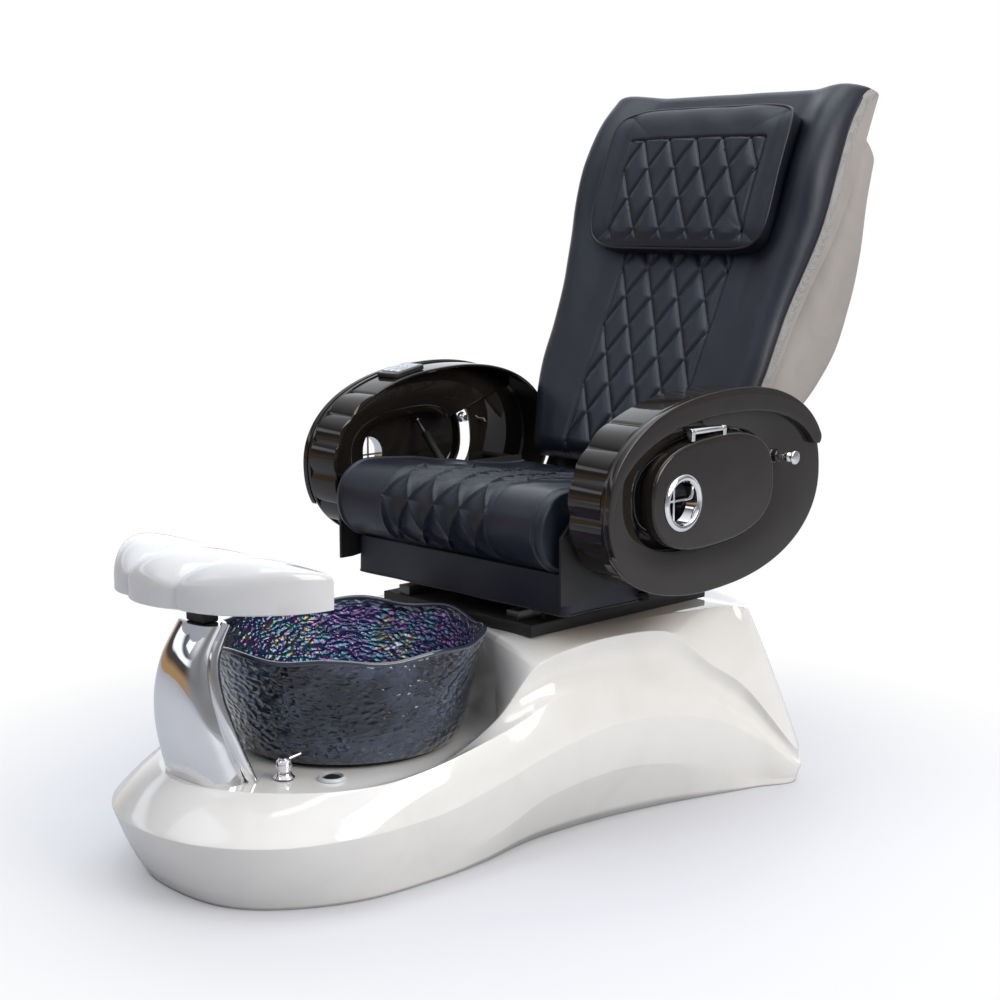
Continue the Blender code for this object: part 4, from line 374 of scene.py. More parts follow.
def revolve(name, profile, place, axis, finish, body, slot_name, *nodes, steps=96, closed=False):
    """A section of (radius, height) points carried round an axis, "X", "-X" or "Z", through a place."""
    turns = np.linspace(0, 2 * pi, steps, endpoint=False)
    profile = np.array(profile, float)
    radius, height = profile[:, 0][None, :], profile[:, 1][None, :]
    a, b = radius * np.cos(turns)[:, None], radius * np.sin(turns)[:, None]
    height = height + 0 * a
    points = {"Z": (a, b, height), "X": (height, a, b), "-X": (-height, a, b)}[axis]
    points = np.stack(points, -1) + np.array(place)
    made = surface(name, points, round_rows=True, round_columns=closed, sharp=30)
    bevel(made, 0.0004, 30)
    return dress(made, finish, body, slot_name, *nodes)


def slab(name, outline, lift, directions, corner, finish, body, slot_name, *nodes):
    """A flat outline of 2-D points made thick between two lifts, its edges rounded by a quarter circle."""
    outline = np.array(outline, float)
    inner = inwards(outline)
    if np.sum(inner * (outline.mean(0) - outline)) < 0:
        inner = -inner
    low, high = lift
    rows = [(corner * (1 - sin(turn)), low + corner * (1 - cos(turn))) for turn in np.linspace(0, pi / 2, 5)]
    rows += [(inset, high + low - height) for inset, height in rows[::-1]]
    origin, across, along, out = (np.array(v, float) for v in directions)
    loops = []
    for inset, height in rows:
        flat = outline + inner * inset
        loops.append(origin + flat[:, :1] * across + flat[:, 1:] * along + height * out)
    made = surface(name, np.array(loops), round_columns=True, caps=True)
    return dress(made, finish, body, slot_name, *nodes)


def tube(name, path, radii, finish, body, slot_name, *nodes, closed=False, steps=16):
    """A round section carried along a path, upright to it at every point."""
    path = np.array(path, float)
    along = unit(np.roll(path, -1, 0) - np.roll(path, 1, 0) if closed else np.gradient(path, axis=0))
    side = unit(np.cross(along, OFF_AXIS))
    other = np.cross(along, side)
    turns = np.linspace(0, 2 * pi, steps, endpoint=False)
    radii = np.broadcast_to(np.array(radii, float), len(path))[:, None, None]
    points = path[:, None] + radii * (
        np.cos(turns)[None, :, None] * side[:, None] + np.sin(turns)[None, :, None] * other[:, None]
    )
    made = surface(name, points, round_rows=closed, round_columns=True, caps=not closed)
    return dress(made, finish, body, slot_name, *nodes)


# ---------------------------------------------------------------- materials


def put(tree, kind, inputs=None, **settings):
    """A new node with its settings, and its inputs as values or as other nodes' sockets."""
    made = tree.nodes.new(kind)
    for key, value in settings.items():
        setattr(made, key, value)
    for socket, value in (inputs or {}).items():
        if isinstance(value, bpy.types.NodeSocket):
            tree.links.new(value, made.inputs[socket])
        else:
            made.inputs[socket].default_value = value
    return made


def material(name, colour, **values):
    """A Principled material; the values go on the shader's own sockets."""
    made = bpy.data.materials.new(name)
    made.use_nodes = True
    shader = made.node_tree.nodes["Principled BSDF"]
    shader.inputs["Base Color"].default_value = (*colour, 1)
    for key, value in values.items():
        shader.inputs[key.replace("_", " ")].default_value = value
    return made


def group(name, inputs, outputs):
    """A node group with float inputs {name: default} and outputs {name: socket kind}."""
    tree = bpy.data.node_groups.new(name, "ShaderNodeTree")
    for key, value in inputs.items():
        socket = tree.interface.new_socket(key, in_out="INPUT", socket_type="NodeSocketFloat")
        socket.default_value = value
    for key, kind in outputs.items():
        tree.interface.new_socket(key, in_out="OUTPUT", socket_type=kind)
    return tree, tree.nodes.new("NodeGroupInput"), tree.nodes.new("NodeGroupOutput")


def object_place(tree):
    """Where a point lies in its own object, so that textures move with it."""
    return put(tree, "ShaderNodeTexCoord").outputs["Object"]


def noise(tree, place, scale, detail, distortion=0.0):
    """Soft noise with features of about 1 / scale metres."""
    return put(tree, "ShaderNodeTexNoise",
               {"Vector": place, "Scale": scale, "Detail": detail, "Distortion": distortion})


def between(tree, value, low, high):
    """How far a value lies between two others, from 0 to 1."""
    made = put(tree, "ShaderNodeMapRange", {"Value": value, "From Min": low, "From Max": high})
    return made.outputs["Result"]


def maths(tree, operation, first, second):
    """The sum or product of two values."""
    return put(tree, "ShaderNodeMath", {0: first, 1: second}, operation=operation).outputs[0]


def mixed(tree, share, first, second):
    """A colour between two others."""
    return put(tree, "ShaderNodeMixRGB", {"Fac": share, "Color1": first, "Color2": second}).outputs["Color"]


def bump(tree, strength, distance, height):
    """A normal that follows a height."""
    made = put(tree, "ShaderNodeBump", {"Strength": strength, "Distance": distance, "Height": height})
    return made.outputs["Normal"]


def ramp(tree, value, stops):
    """The colour of a value between stops of (place, colour)."""
    made = put(tree, "ShaderNodeValToRGB", {"Fac": value})
    elements = made.color_ramp.elements
    for _ in stops[2:]:
        elements.new(0.5)
    for element, (at, colour) in zip(elements, stops):
        element.position = at
        element.color = (*colour, 1)
    return made.outputs["Color"]


def make_grain_group():
    """Leather grain as a normal and two masks: small cells with creases between them, and long soft pulls."""
    kinds = {"Normal": "NodeSocketVector", "Crease": "NodeSocketFloat", "Worn": "NodeSocketFloat"}
    tree, given, out = group("leather grain", {"Scale": 420.0, "Strength": 0.25}, kinds)
    place = object_place(tree)
    warped = mixed(tree, 0.06, place, noise(tree, place, 60.0, 2.0).outputs["Color"])
    cells = put(tree, "ShaderNodeTexVoronoi",
                {"Vector": warped, "Scale": given.outputs["Scale"]}, feature="DISTANCE_TO_EDGE")
    crease = between(tree, cells.outputs["Distance"], 0.0, 0.12)
    pulls = noise(tree, place, 26.0, 3.0, 0.6).outputs["Fac"]
    height = maths(tree, "ADD", maths(tree, "MULTIPLY", crease, 0.35), pulls)
    worn = between(tree, noise(tree, place, 4.0, 4.0).outputs["Fac"], 0.35, 0.7)
    tree.links.new(bump(tree, given.outputs["Strength"], 0.0009, height), out.inputs["Normal"])
    tree.links.new(crease, out.inputs["Crease"])
    tree.links.new(worn, out.inputs["Worn"])
    return tree


def make_peel_group():
    """The slight waviness of moulded gloss and sprayed paint, with faint handling marks as a mask."""
    tree, given, out = group("orange peel", {"Scale": 90.0, "Strength": 0.05},
                             {"Normal": "NodeSocketVector", "Marks": "NodeSocketFloat"})
    place = object_place(tree)
    waves = noise(tree, place, given.outputs["Scale"], 2.0).outputs["Fac"]
    marks = between(tree, noise(tree, place, 7.0, 5.0, 1.2).outputs["Fac"], 0.4, 0.75)
    tree.links.new(bump(tree, given.outputs["Strength"], 0.002, waves), out.inputs["Normal"])
    tree.links.new(marks, out.inputs["Marks"])
    return tree


def use_group(made, tree, **inputs):
    """The group's node in a material, with its Normal joined to the shader."""
    used = put(made.node_tree, "ShaderNodeGroup", {}, node_tree=tree)
    for key, value in inputs.items():
        used.inputs[key].default_value = value
    join(made, "Normal", used.outputs["Normal"])
    return used


def join(made, socket, value):
    """Joins a node's output to one of the shader's sockets."""
    made.node_tree.links.new(value, made.node_tree.nodes["Principled BSDF"].inputs[socket])


def vary(made, socket, mask, low, high):
    """Joins a mask to one of the shader's sockets, between two values or two colours."""
    tree = made.node_tree
    if isinstance(low, tuple):
        join(made, socket, mixed(tree, mask, (*low, 1), (*high, 1)))
    else:
        step = put(tree, "ShaderNodeMapRange", {"Value": mask, "To Min": low, "To Max": high})
        join(made, socket, step.outputs["Result"])


def make_leather(name, grain, colour, worn, roughness):
    """Leather: lighter where it is worn, rougher in the creases of its grain."""
    made = material(name, colour)
    made.node_tree.nodes["Principled BSDF"].inputs["Specular Tint"].default_value = LEATHER_SHEEN
    used = use_group(made, grain)
    vary(made, "Base Color", used.outputs["Worn"], colour, worn)
    vary(made, "Roughness", used.outputs["Crease"], roughness[1], roughness[0])
    return made


def make_hard(name, peel, colour, marked, roughness, strength, scale, coat, metal):
    """Plastic, paint, rubber or metal: orange peel, and marks that change colour and roughness a little."""
    made = material(name, colour, Metallic=metal, Coat_Weight=coat, Coat_Roughness=0.04)
    used = use_group(made, peel, Strength=strength, Scale=scale)
    vary(made, "Base Color", used.outputs["Marks"], colour, marked)
    vary(made, "Roughness", used.outputs["Marks"], *roughness)
    return made


def make_gusset():
    """Grey woven tape with small stitches across it: fine light threads on a darker ground."""
    made = material("grey_gusset", (0.40, 0.39, 0.38), Roughness=0.75)
    tree = made.node_tree
    threads = put(tree, "ShaderNodeTexVoronoi",
                  {"Vector": object_place(tree), "Scale": 420.0, "Randomness": 0.55})
    mask = between(tree, threads.outputs["Distance"], 0.1, 0.7)
    join(made, "Normal", bump(tree, 0.5, 0.0006, mask))
    vary(made, "Base Color", mask, (0.45, 0.44, 0.435), (0.23, 0.225, 0.22))
    return made


def hammered(name, colour, scale, strength, **values):
    """Glass with dimples beaten into it, wider than tall, as (material, depth in a dimple, place, place
    stretched like the dimples)."""
    made = material(name, colour, **values)
    tree = made.node_tree
    place = object_place(tree)
    stretched = put(tree, "ShaderNodeMapping", {"Vector": place, "Scale": DIMPLE_STRETCH}).outputs[0]
    warped = mixed(tree, 0.03, stretched, noise(tree, stretched, 22.0, 2.0).outputs["Color"])
    cells = put(tree, "ShaderNodeTexVoronoi",
                {"Vector": warped, "Scale": scale, "Smoothness": 0.35}, feature="SMOOTH_F1")
    normal = bump(tree, strength, 0.006, cells.outputs["Distance"])
    join(made, "Normal", normal)
    join(made, "Coat Normal", normal)
    return made, cells.outputs["Distance"], place, stretched


def make_bowl_outside():
    """Blue-grey glass, paler in patches and rougher between its dimples."""
    made, depth, place, _ = hammered("bowl_outside", (0.03, 0.036, 0.055), 62.0, 0.9,
                                     Metallic=0.55, Coat_Weight=0.8, Coat_Roughness=0.06)
    tree = made.node_tree
    mask = between(tree, noise(tree, place, 9.0, 4.0).outputs["Fac"], 0.42, 0.72)
    vary(made, "Base Color", mask, (0.013, 0.017, 0.030), (0.080, 0.105, 0.17))
    vary(made, "Roughness", depth, 0.10, 0.26)
    return made


def make_bowl_inside():
    """Iridescent glass: each dimple has its own hue, from violet and blue over teal and green to orange."""
    made, _, place, stretched = hammered("bowl_inside", (0.2, 0.2, 0.4), 90.0, 1.0,
                                         Metallic=0.8, Coat_Weight=0.7, Coat_Roughness=0.05)
    tree = made.node_tree
    drift = noise(tree, place, 6.0, 3.0).outputs["Fac"]
    chips = put(tree, "ShaderNodeTexVoronoi", {"Vector": stretched, "Scale": 88.0})
    chip = put(tree, "ShaderNodeSeparateColor", {"Color": chips.outputs["Color"]})
    hue = maths(tree, "ADD", maths(tree, "MULTIPLY", chip.outputs[0], 0.30), drift)
    join(made, "Base Color", ramp(tree, hue, BOWL_HUES))
    vary(made, "Roughness", chip.outputs[1], 0.06, 0.30)
    return made


def make_wood():
    """Plywood: noise drawn out along its layers."""
    made = material("plywood", (0.45, 0.32, 0.18), Roughness=0.7)
    tree = made.node_tree
    long = put(tree, "ShaderNodeMapping", {"Vector": object_place(tree), "Scale": (1.0, 12.0, 40.0)})
    figure = noise(tree, long.outputs[0], 8.0, 5.0).outputs["Fac"]
    vary(made, "Base Color", figure, (0.30, 0.19, 0.10), (0.58, 0.43, 0.27))
    return made


def make_materials():
    """Every finish by name."""
    grain, peel = make_grain_group(), make_peel_group()
    made = {name: make_hard(name, peel, *values) for name, values in HARD_FINISHES.items()}
    made.update({name: make_leather(name, grain, *values) for name, values in LEATHERS.items()})
    made["grey_gusset"] = make_gusset()
    made["bowl_glass"] = make_bowl_outside()
    made["bowl_inside"] = make_bowl_inside()
    made["plywood"] = make_wood()
    made["keypad_face"] = material("keypad_face", (0.10, 0.13, 0.15), Roughness=0.18, Coat_Weight=0.5)
    return made


# ---------------------------------------------------------------- carried-over CAD nodes


def make_smoother():
    """A geometry group that shades smooth, and keeps edges sharper than an angle."""
    tree = bpy.data.node_groups.new("smooth by angle", "GeometryNodeTree")
    tree.interface.new_socket("Geometry", in_out="INPUT", socket_type="NodeSocketGeometry")
    tree.interface.new_socket("Geometry", in_out="OUTPUT", socket_type="NodeSocketGeometry")
    given, out = tree.nodes.new("NodeGroupInput"), tree.nodes.new("NodeGroupOutput")
    faces = put(tree, "GeometryNodeSetShadeSmooth", {"Geometry": given.outputs[0]})
    angle = put(tree, "GeometryNodeInputMeshEdgeAngle")
    sharp = put(tree, "FunctionNodeCompare", {0: angle.outputs[0], 1: radians(NODE_ANGLE)},
                operation="GREATER_THAN")
    edges = put(tree, "GeometryNodeSetShadeSmooth",
                {"Geometry": faces.outputs[0], "Selection": sharp.outputs[0], "Shade Smooth": False},
                domain="EDGE")
    tree.links.new(edges.outputs[0], out.inputs[0])
    return tree


def dress_nodes(frame, finishes):
    """Every CAD node that still shows gets its slot's material, rounded edges and smooth shading."""
    smoother = make_smoother()
    slots = {row["node"]: row["material_slot"] for row in frame["record"]["subparts"]}
    for name, node in frame["nodes"].items():
        node.data.materials.clear()
        node.data.materials.append(finishes[slots[name]])
        if "custom_normal" in node.data.attributes:
            node.data.attributes.remove(node.data.attributes["custom_normal"])
        weld = node.modifiers.new("weld", "WELD")
        weld.merge_threshold = NODE_WELD
        bevel(node, NODE_EDGE, NODE_ANGLE)
        node.modifiers.new("shading", "NODES").node_group = smoother


# ---------------------------------------------------------------- base, bowl and deck


def make_base(finishes):
    """The base's skin: straight bands between neighbouring creases, each swollen outwards or drawn in by a
    half sine, and mirrored. The creases are rounded off by a narrow bevel."""
    creases = [
        smooth_line(line, BASE_STEPS) + np.array([0, FRAME_SHIFT, 0])
        for line in (FLOOR_LINE, KICK_LINE, LOWER_CREASE, DECK_EDGE, SHOULDER, TOP_EDGE, MIDDLE_LINE)
    ]
    rows = []
    for low, high, count, swell in zip(creases, creases[1:], BASE_ROWS, BASE_SWELL):
        along = np.gradient(low, axis=0)
        out = np.cross(along, high - low)
        out /= np.linalg.norm(out, axis=1)[:, None] + 1e-9
        reach = np.minimum(1, abs(high[:, 2] - low[:, 2]) / FULL_SWELL_RISE)[:, None]
        for step in range(count):
            share = step / count
            rows.append(low * (1 - share) + high * share + out * swell * sin(pi * share) * reach)
    rows.append(creases[-1])
    half = np.array(rows)
    half[:, [0, -1], 0] = 0
    whole = np.concatenate([half, half[:, -2:0:-1] * np.array([-1, 1, 1])], axis=1)
    made = surface("base_skin", whole, round_columns=True, sharp=180)
    bevel(made, CREASE_RADIUS, CREASE_ANGLE, segments=3)
    thicken(made, BASE_WALL, -1)
    dress(made, finishes["gloss_white"], "base", "gloss_white", "base_shell")


def make_bowl(finishes):
    """A cup of revolution whose wall leans out to a rim that rises and falls in eight waves, with a smooth
    lip on it. Faces that look inwards or lie on its floor take the iridescent finish."""
    outer = [(0.022, 0), (0.165, 0), (0.185, 0.001), (0.197, 0.005), (0.204, 0.014), (0.210, 0.032),
             (0.218, 0.065), (0.225, 0.095), (0.232, 0.125), (0.239, 0.155), (0.2455, 0.178),
             (0.2475, 0.186)]
    rim = [(0.2475, 0.1895), (0.245, 0.1925), (0.2415, 0.1915), (0.240, 0.188)]
    inner = [(0.2385, 0.178), (0.232, 0.150), (0.225, 0.120), (0.218, 0.090), (0.210, 0.060),
             (0.203, 0.036), (0.197, 0.020), (0.189, 0.012), (0.175, 0.008), (0.155, 0.007), (0.022, 0.007)]
    profile = np.array(outer + rim + inner)
    turns = np.linspace(0, 2 * pi, 288, endpoint=False)[:, None]
    radius, height = profile[:, 0][None], profile[:, 1][None]
    wave = BOWL_WAVE * (height / BOWL_HEIGHT) ** 4 * np.cos(BOWL_WAVES * turns)
    reach = radius + 0.5 * wave
    points = np.stack([reach * np.cos(turns), BOWL_Y + reach * np.sin(turns), BOWL_Z + height + wave], -1)
    made = surface("bowl_glass", points, round_rows=True, round_columns=True, sharp=80)
    dress(made, finishes["bowl_glass"], "base", "bowl_glass", "foot_bowl")
    made.data.materials.append(finishes["bowl_inside"])
    centres, normals = face_places(made)
    towards = -(centres[:, 0] * normals[:, 0] + (centres[:, 1] - BOWL_Y) * normals[:, 1])
    low = centres[:, 2] < BOWL_Z + BOWL_HEIGHT - 0.012
    inside = ((towards > 0) | ((normals[:, 2] > 0.5) & (centres[:, 2] < BOWL_Z + 0.03))) & low
    made.data.polygons.foreach_set("material_index", inside.astype(int))
    turns = turns[:, 0]
    wave = BOWL_WAVE * np.cos(BOWL_WAVES * turns)
    reach = LIP_REACH + 0.5 * wave
    lip = np.stack([reach * np.cos(turns), BOWL_Y + reach * np.sin(turns), BOWL_Z + LIP_HEIGHT + wave], -1)
    tube("bowl_lip", lip, LIP_R, finishes["lip_glass"], "base", "bowl_glass", closed=True)


def make_deck(finishes):
    """The mixer, the air button in its bezel, the drain, the jet cover and the bowl's gasket, all turned."""
    chrome, rubber = finishes["chrome"], finishes["rubber"]
    mixer = (0.115, -0.5891, DECK_Z + 0.0026)
    body = [(0, 0.024), (0.0140, 0.024), (0.0136, 0.020), (0.0118, 0.014), (0.0120, 0.010),
            (0.0140, 0.005), (0.0180, 0.001), (0.0180, 0), (0, 0)]
    revolve("mixer_body_turned", body, mixer, "Z", chrome, "base", "chrome", "mixer_body")
    button = (0.172, -0.5331, DECK_Z)
    ring = [(0.0185, 0.0063), (0.0205, 0.0063), (0.0225, 0.0050), (0.024, 0.0023), (0.024, 0.0003),
            (0.0185, 0.0003)]
    revolve("button_bezel", ring, button, "Z", finishes["pale_plastic"], "base", "pale_plastic",
            "air_button_bezel", closed=True)
    dome = [(0, 0.0078), (0.005, 0.0076), (0.010, 0.0064), (0.014, 0.0044), (0.0165, 0.0018), (0.017, 0),
            (0, 0)]
    revolve("button_dome", dome, button, "Z", finishes["gloss_black"], "air_button", "black_plastic",
            "air_button")
    floor = BOWL_Z + 0.0073
    cover = [(0, 0.014), (0.012, 0.0138), (0.022, 0.0125), (0.030, 0.009), (0.034, 0.003), (0.034, 0), (0, 0)]
    revolve("jet_dome", cover, (0, BOWL_Y + 0.100, floor), "Z", chrome, "base", "chrome", "jet_cover")
    drain = [(0, 0.002), (0.015, 0.002), (0.017, 0.004), (0.024, 0.0035), (0.030, 0.0005), (0.030, 0), (0, 0)]
    revolve("drain_flange", drain, (0, BOWL_Y, floor), "Z", chrome, "base", "chrome", "drain_strainer")
    gasket = [(0.181, 0.004), (0.1815, 0.002), (0.181, 0), (0.169, 0), (0.1685, 0.002), (0.169, 0.004)]
    revolve("gasket_ring", gasket, (0, BOWL_Y, DECK_Z + 0.0003), "Z", rubber, "base", "rubber",
            "bowl_gasket", closed=True)


def make_post(finishes):
    """The post: superellipses whose place and size follow the stations, with a rolled rim down each side."""
    levels = np.linspace(POST[0][0], POST[-1][0], 80)
    middle, wide, deep = smooth_table(POST, levels).T
    x, y = superellipse(np.linspace(0, 2 * pi, 128, endpoint=False), 2.5)
    points = np.stack([wide[:, None] * x, middle[:, None] + deep[:, None] * y, levels[:, None] + 0 * x], -1)
    made = surface("post_skin", points, round_columns=True, caps=True)
    dress(made, finishes["chrome"], "base", "chrome", "footrest_post")
    for word, side in (("left", 1), ("right", -1)):
        share = np.linspace(0, 1, len(levels))
        reach = wide * 0.94 + 0.008 * (1 - share) ** 3
        path = np.stack([side * reach, middle + deep * 0.50 + 0.006 * (1 - share) ** 2, levels], -1)
        radii = 0.0080 + 0.0040 * np.sin(pi * share) + 0.0010 * share
        tube("post_rim_" + word, path, radii, finishes["chrome"], "base", "chrome", steps=24)


def make_pad(finishes):
    """The footrest: sections across half an ellipse, each a wall with an arch over it. Their crests follow
    three lobes side by side, the wall grows higher towards both ends, and the top's edges are rounded."""
    turn = np.radians(np.linspace(-87.5, 87.5, 281))
    x, reach = PAD_HALF * np.sin(turn), np.cos(turn)
    outside = np.clip(abs(x) - LOBE_PITCH, 0, None) / (PAD_HALF - LOBE_PITCH)
    inside = abs(abs(x) - LOBE_PITCH * (abs(x) > LOBE_PITCH / 2)) / (LOBE_PITCH / 2)
    share = np.where(abs(x) > LOBE_PITCH, outside, inside)
    swell = np.clip(1 - share**2, 0, 1) ** PAD_SWELL_POWER
    depth = (PAD_REAR - PAD_FRONT - PAD_SCALLOP * (1 - swell)) * reach
    towards_end = np.minimum(1, outside * PAD_WALL_REACH)
    front_wall = PAD_FRONT_WALL + (PAD_END_WALL - PAD_FRONT_WALL) * towards_end**2
    crest = PAD_END_WALL + (PAD_CREST - PAD_END_WALL) * swell
    crest = np.where(abs(x) < LOBE_PITCH, PAD_CREST - PAD_GROOVE * (1 - swell), crest)
    dome = crest - (front_wall + PAD_END_WALL) / 2
    front = PAD_REAR - depth
    y = [PAD_REAR - depth * 0.10, PAD_REAR + 0 * x, PAD_REAR + 0 * x]
    z = [PAD_Z + 0 * x, PAD_Z + 0 * x, PAD_Z + 0.004 + 0 * x]
    for step in np.linspace(0, pi, 65):
        from_front = (1 + cos(step)) / 2
        wall = front_wall + (PAD_END_WALL - front_wall) * from_front
        at = front + depth * from_front
        inwards_by = (1 - np.hypot(x / PAD_HALF, (PAD_REAR - at) / (PAD_REAR - PAD_FRONT))) * PAD_HALF
        from_edge = np.clip(np.minimum(inwards_by, PAD_REAR - at) / PAD_ROUND, 0, 1)
        arch = dome * abs(sin(pi * from_front**PAD_LEAN)) ** PAD_DOME_POWER
        rounding = PAD_ROUND * (1 - np.sqrt(1 - (1 - from_edge) ** 2))
        y.append(at)
        z.append(PAD_Z + wall + arch - rounding)
    y += [front, front, front + depth * 0.04]
    z += [PAD_Z + front_wall * 0.5, PAD_Z + 0.003 + 0 * x, PAD_Z + 0 * x]
    y, z = np.array(y).T, np.array(z).T
    points = np.stack([np.broadcast_to(x[:, None], y.shape), y, z], -1)
    made = surface("pad_skin", points, round_columns=True, caps=True, sharp=62)
    bevel(made, 0.0025, 32, segments=3)
    dress(made, finishes["pad_white"], "footrest_pad", "pad_white", "footrest_pad")


# ---------------------------------------------------------------- upholstery


def quilting(across, along, half):
    """How far quilted leather stands out: puffed diamonds between two families of slanting seams."""
    a = across / QUILT_WIDE + along / QUILT_TALL
    b = across / QUILT_WIDE - along / QUILT_TALL
    spacing = 1 / np.hypot(1 / QUILT_WIDE, 1 / QUILT_TALL)
    seam = np.minimum(abs(a - np.round(a)), abs(b - np.round(b))) * spacing
    border = abs(abs(across) - half)
    inside = abs(across) < half
    puffed = PUFF * (1 - np.exp(-((np.minimum(seam, border) / PUFF_REACH) ** 2)))
    form = puffed - SEAM_DEPTH * np.exp(-((seam / SEAM_REACH) ** 2))
    return np.where(inside, form, 0) - SEAM_DEPTH * np.exp(-((border / BORDER_REACH) ** 2))


def back_half(u):
    """Half the back's width at a height."""
    return smooth_table(BACK_WIDTHS, u)[:, 0]


def back_face(x, u):
    """How far out of the back its leather lies: level in the middle, up to a bolster, then rounded off."""
    middle, crest, edge = (column[:, None] for column in smooth_table(BACK_FACE, u).T)
    half = back_half(u)[:, None]
    peak = half - BOLSTER_INSET
    start = np.minimum(BOLSTER_START, peak - 0.040)
    rise = np.clip((abs(x) - start) / (peak - start), 0, 1)
    fall = np.clip((abs(x) - peak) / BOLSTER_INSET, 0, 1)
    level = middle + (crest - middle) * rise**2 * (3 - 2 * rise)
    return np.where(abs(x) > peak, crest - (crest - edge) * (1 - np.sqrt(1 - fall**2)), level)


def in_back(x, u, n):
    """Points of the frame from places in the back's own axes."""
    x, u, n = np.broadcast_arrays(x, u, n)
    return PIVOT + x[..., None] * np.array([1.0, 0, 0]) + u[..., None] * UP_BACK + n[..., None] * OUT_OF_BACK


def make_back_cushion(finishes):
    """The back: across each row the face, with quilting down its middle, and down each side a woven gusset
    and then the shell's grey. A seam of piping runs up each side."""
    share = np.linspace(0, 1, 250)
    u = BACK_FOOT + (BACK_HEAD - BACK_FOOT) * share
    half = back_half(u)[:, None]
    across = np.linspace(-1, 1, 281)
    x = half * (0.72 * across + 0.28 * np.sin(pi * across / 2))[None]
    sewn = np.clip((QUILT_END_U - u) / 0.04, 0, 1)[:, None]
    face = back_face(x, u) + quilting(x, u[:, None], QUILT_HALF) * sewn
    face += 0.0009 * ripple(x, u[:, None], 0.13)
    from_end = np.minimum(u - BACK_FOOT, BACK_HEAD - u)
    end = np.sqrt(1 - np.clip(1 - from_end / 0.030, 0, 1) ** 2)[:, None]
    rim = BACK_REAR_N + BACK_RIM
    face = rim + (face - rim) * (0.25 + 0.75 * end)
    edge = face[:, -1:]
    strip = np.minimum(GUSSET_WIDE, (edge - BACK_REAR_N) * 0.8)
    drop = np.linspace(0, 1, 8)[1:]
    side_n = np.concatenate([edge - strip * drop, edge - strip - (edge - strip - BACK_REAR_N) * drop], 1)
    puff = np.concatenate([0.0020 * np.sin(pi * drop), 0.0003 * np.sin(pi * drop)])
    side_x = half + 0 * side_n + puff[None]
    x_all = np.concatenate([x, side_x, -side_x[:, ::-1]], axis=1)
    n_all = np.concatenate([face, side_n, side_n[:, ::-1]], axis=1)
    made = surface("back_leather", in_back(x_all, u[:, None], n_all), round_columns=True, caps=True, sharp=70)
    dress(made, finishes["black_leather"], "back", "black_leather", "back_cushion")
    made.data.materials.append(finishes["grey_gusset"])
    made.data.materials.append(finishes["grey_plastic"])
    centres, normals = face_places(made)
    n = (centres - PIVOT) @ OUT_OF_BACK
    u_of = (centres - PIVOT) @ UP_BACK
    side = abs(normals[:, 0]) > 0.9
    edge_of = np.interp(u_of, u, edge[:, 0])
    strip_of = np.interp(u_of, u, strip[:, 0])
    index = np.where(side & (n < edge_of - 0.001), 1, 0) + (side & (n < edge_of - strip_of))
    made.data.polygons.foreach_set("material_index", index.astype(int))
    edge_n = smooth_table(BACK_FACE, u)[:, 2]
    seam_n = rim + (edge_n - rim) * end[:, 0]
    for word, sign in (("left", 1), ("right", -1)):
        path = in_back(sign * back_half(u), u, seam_n)[12:-10]
        tube("back_seam_" + word, path, SEAM_R, finishes["piping"], "back", "black_leather", steps=10)


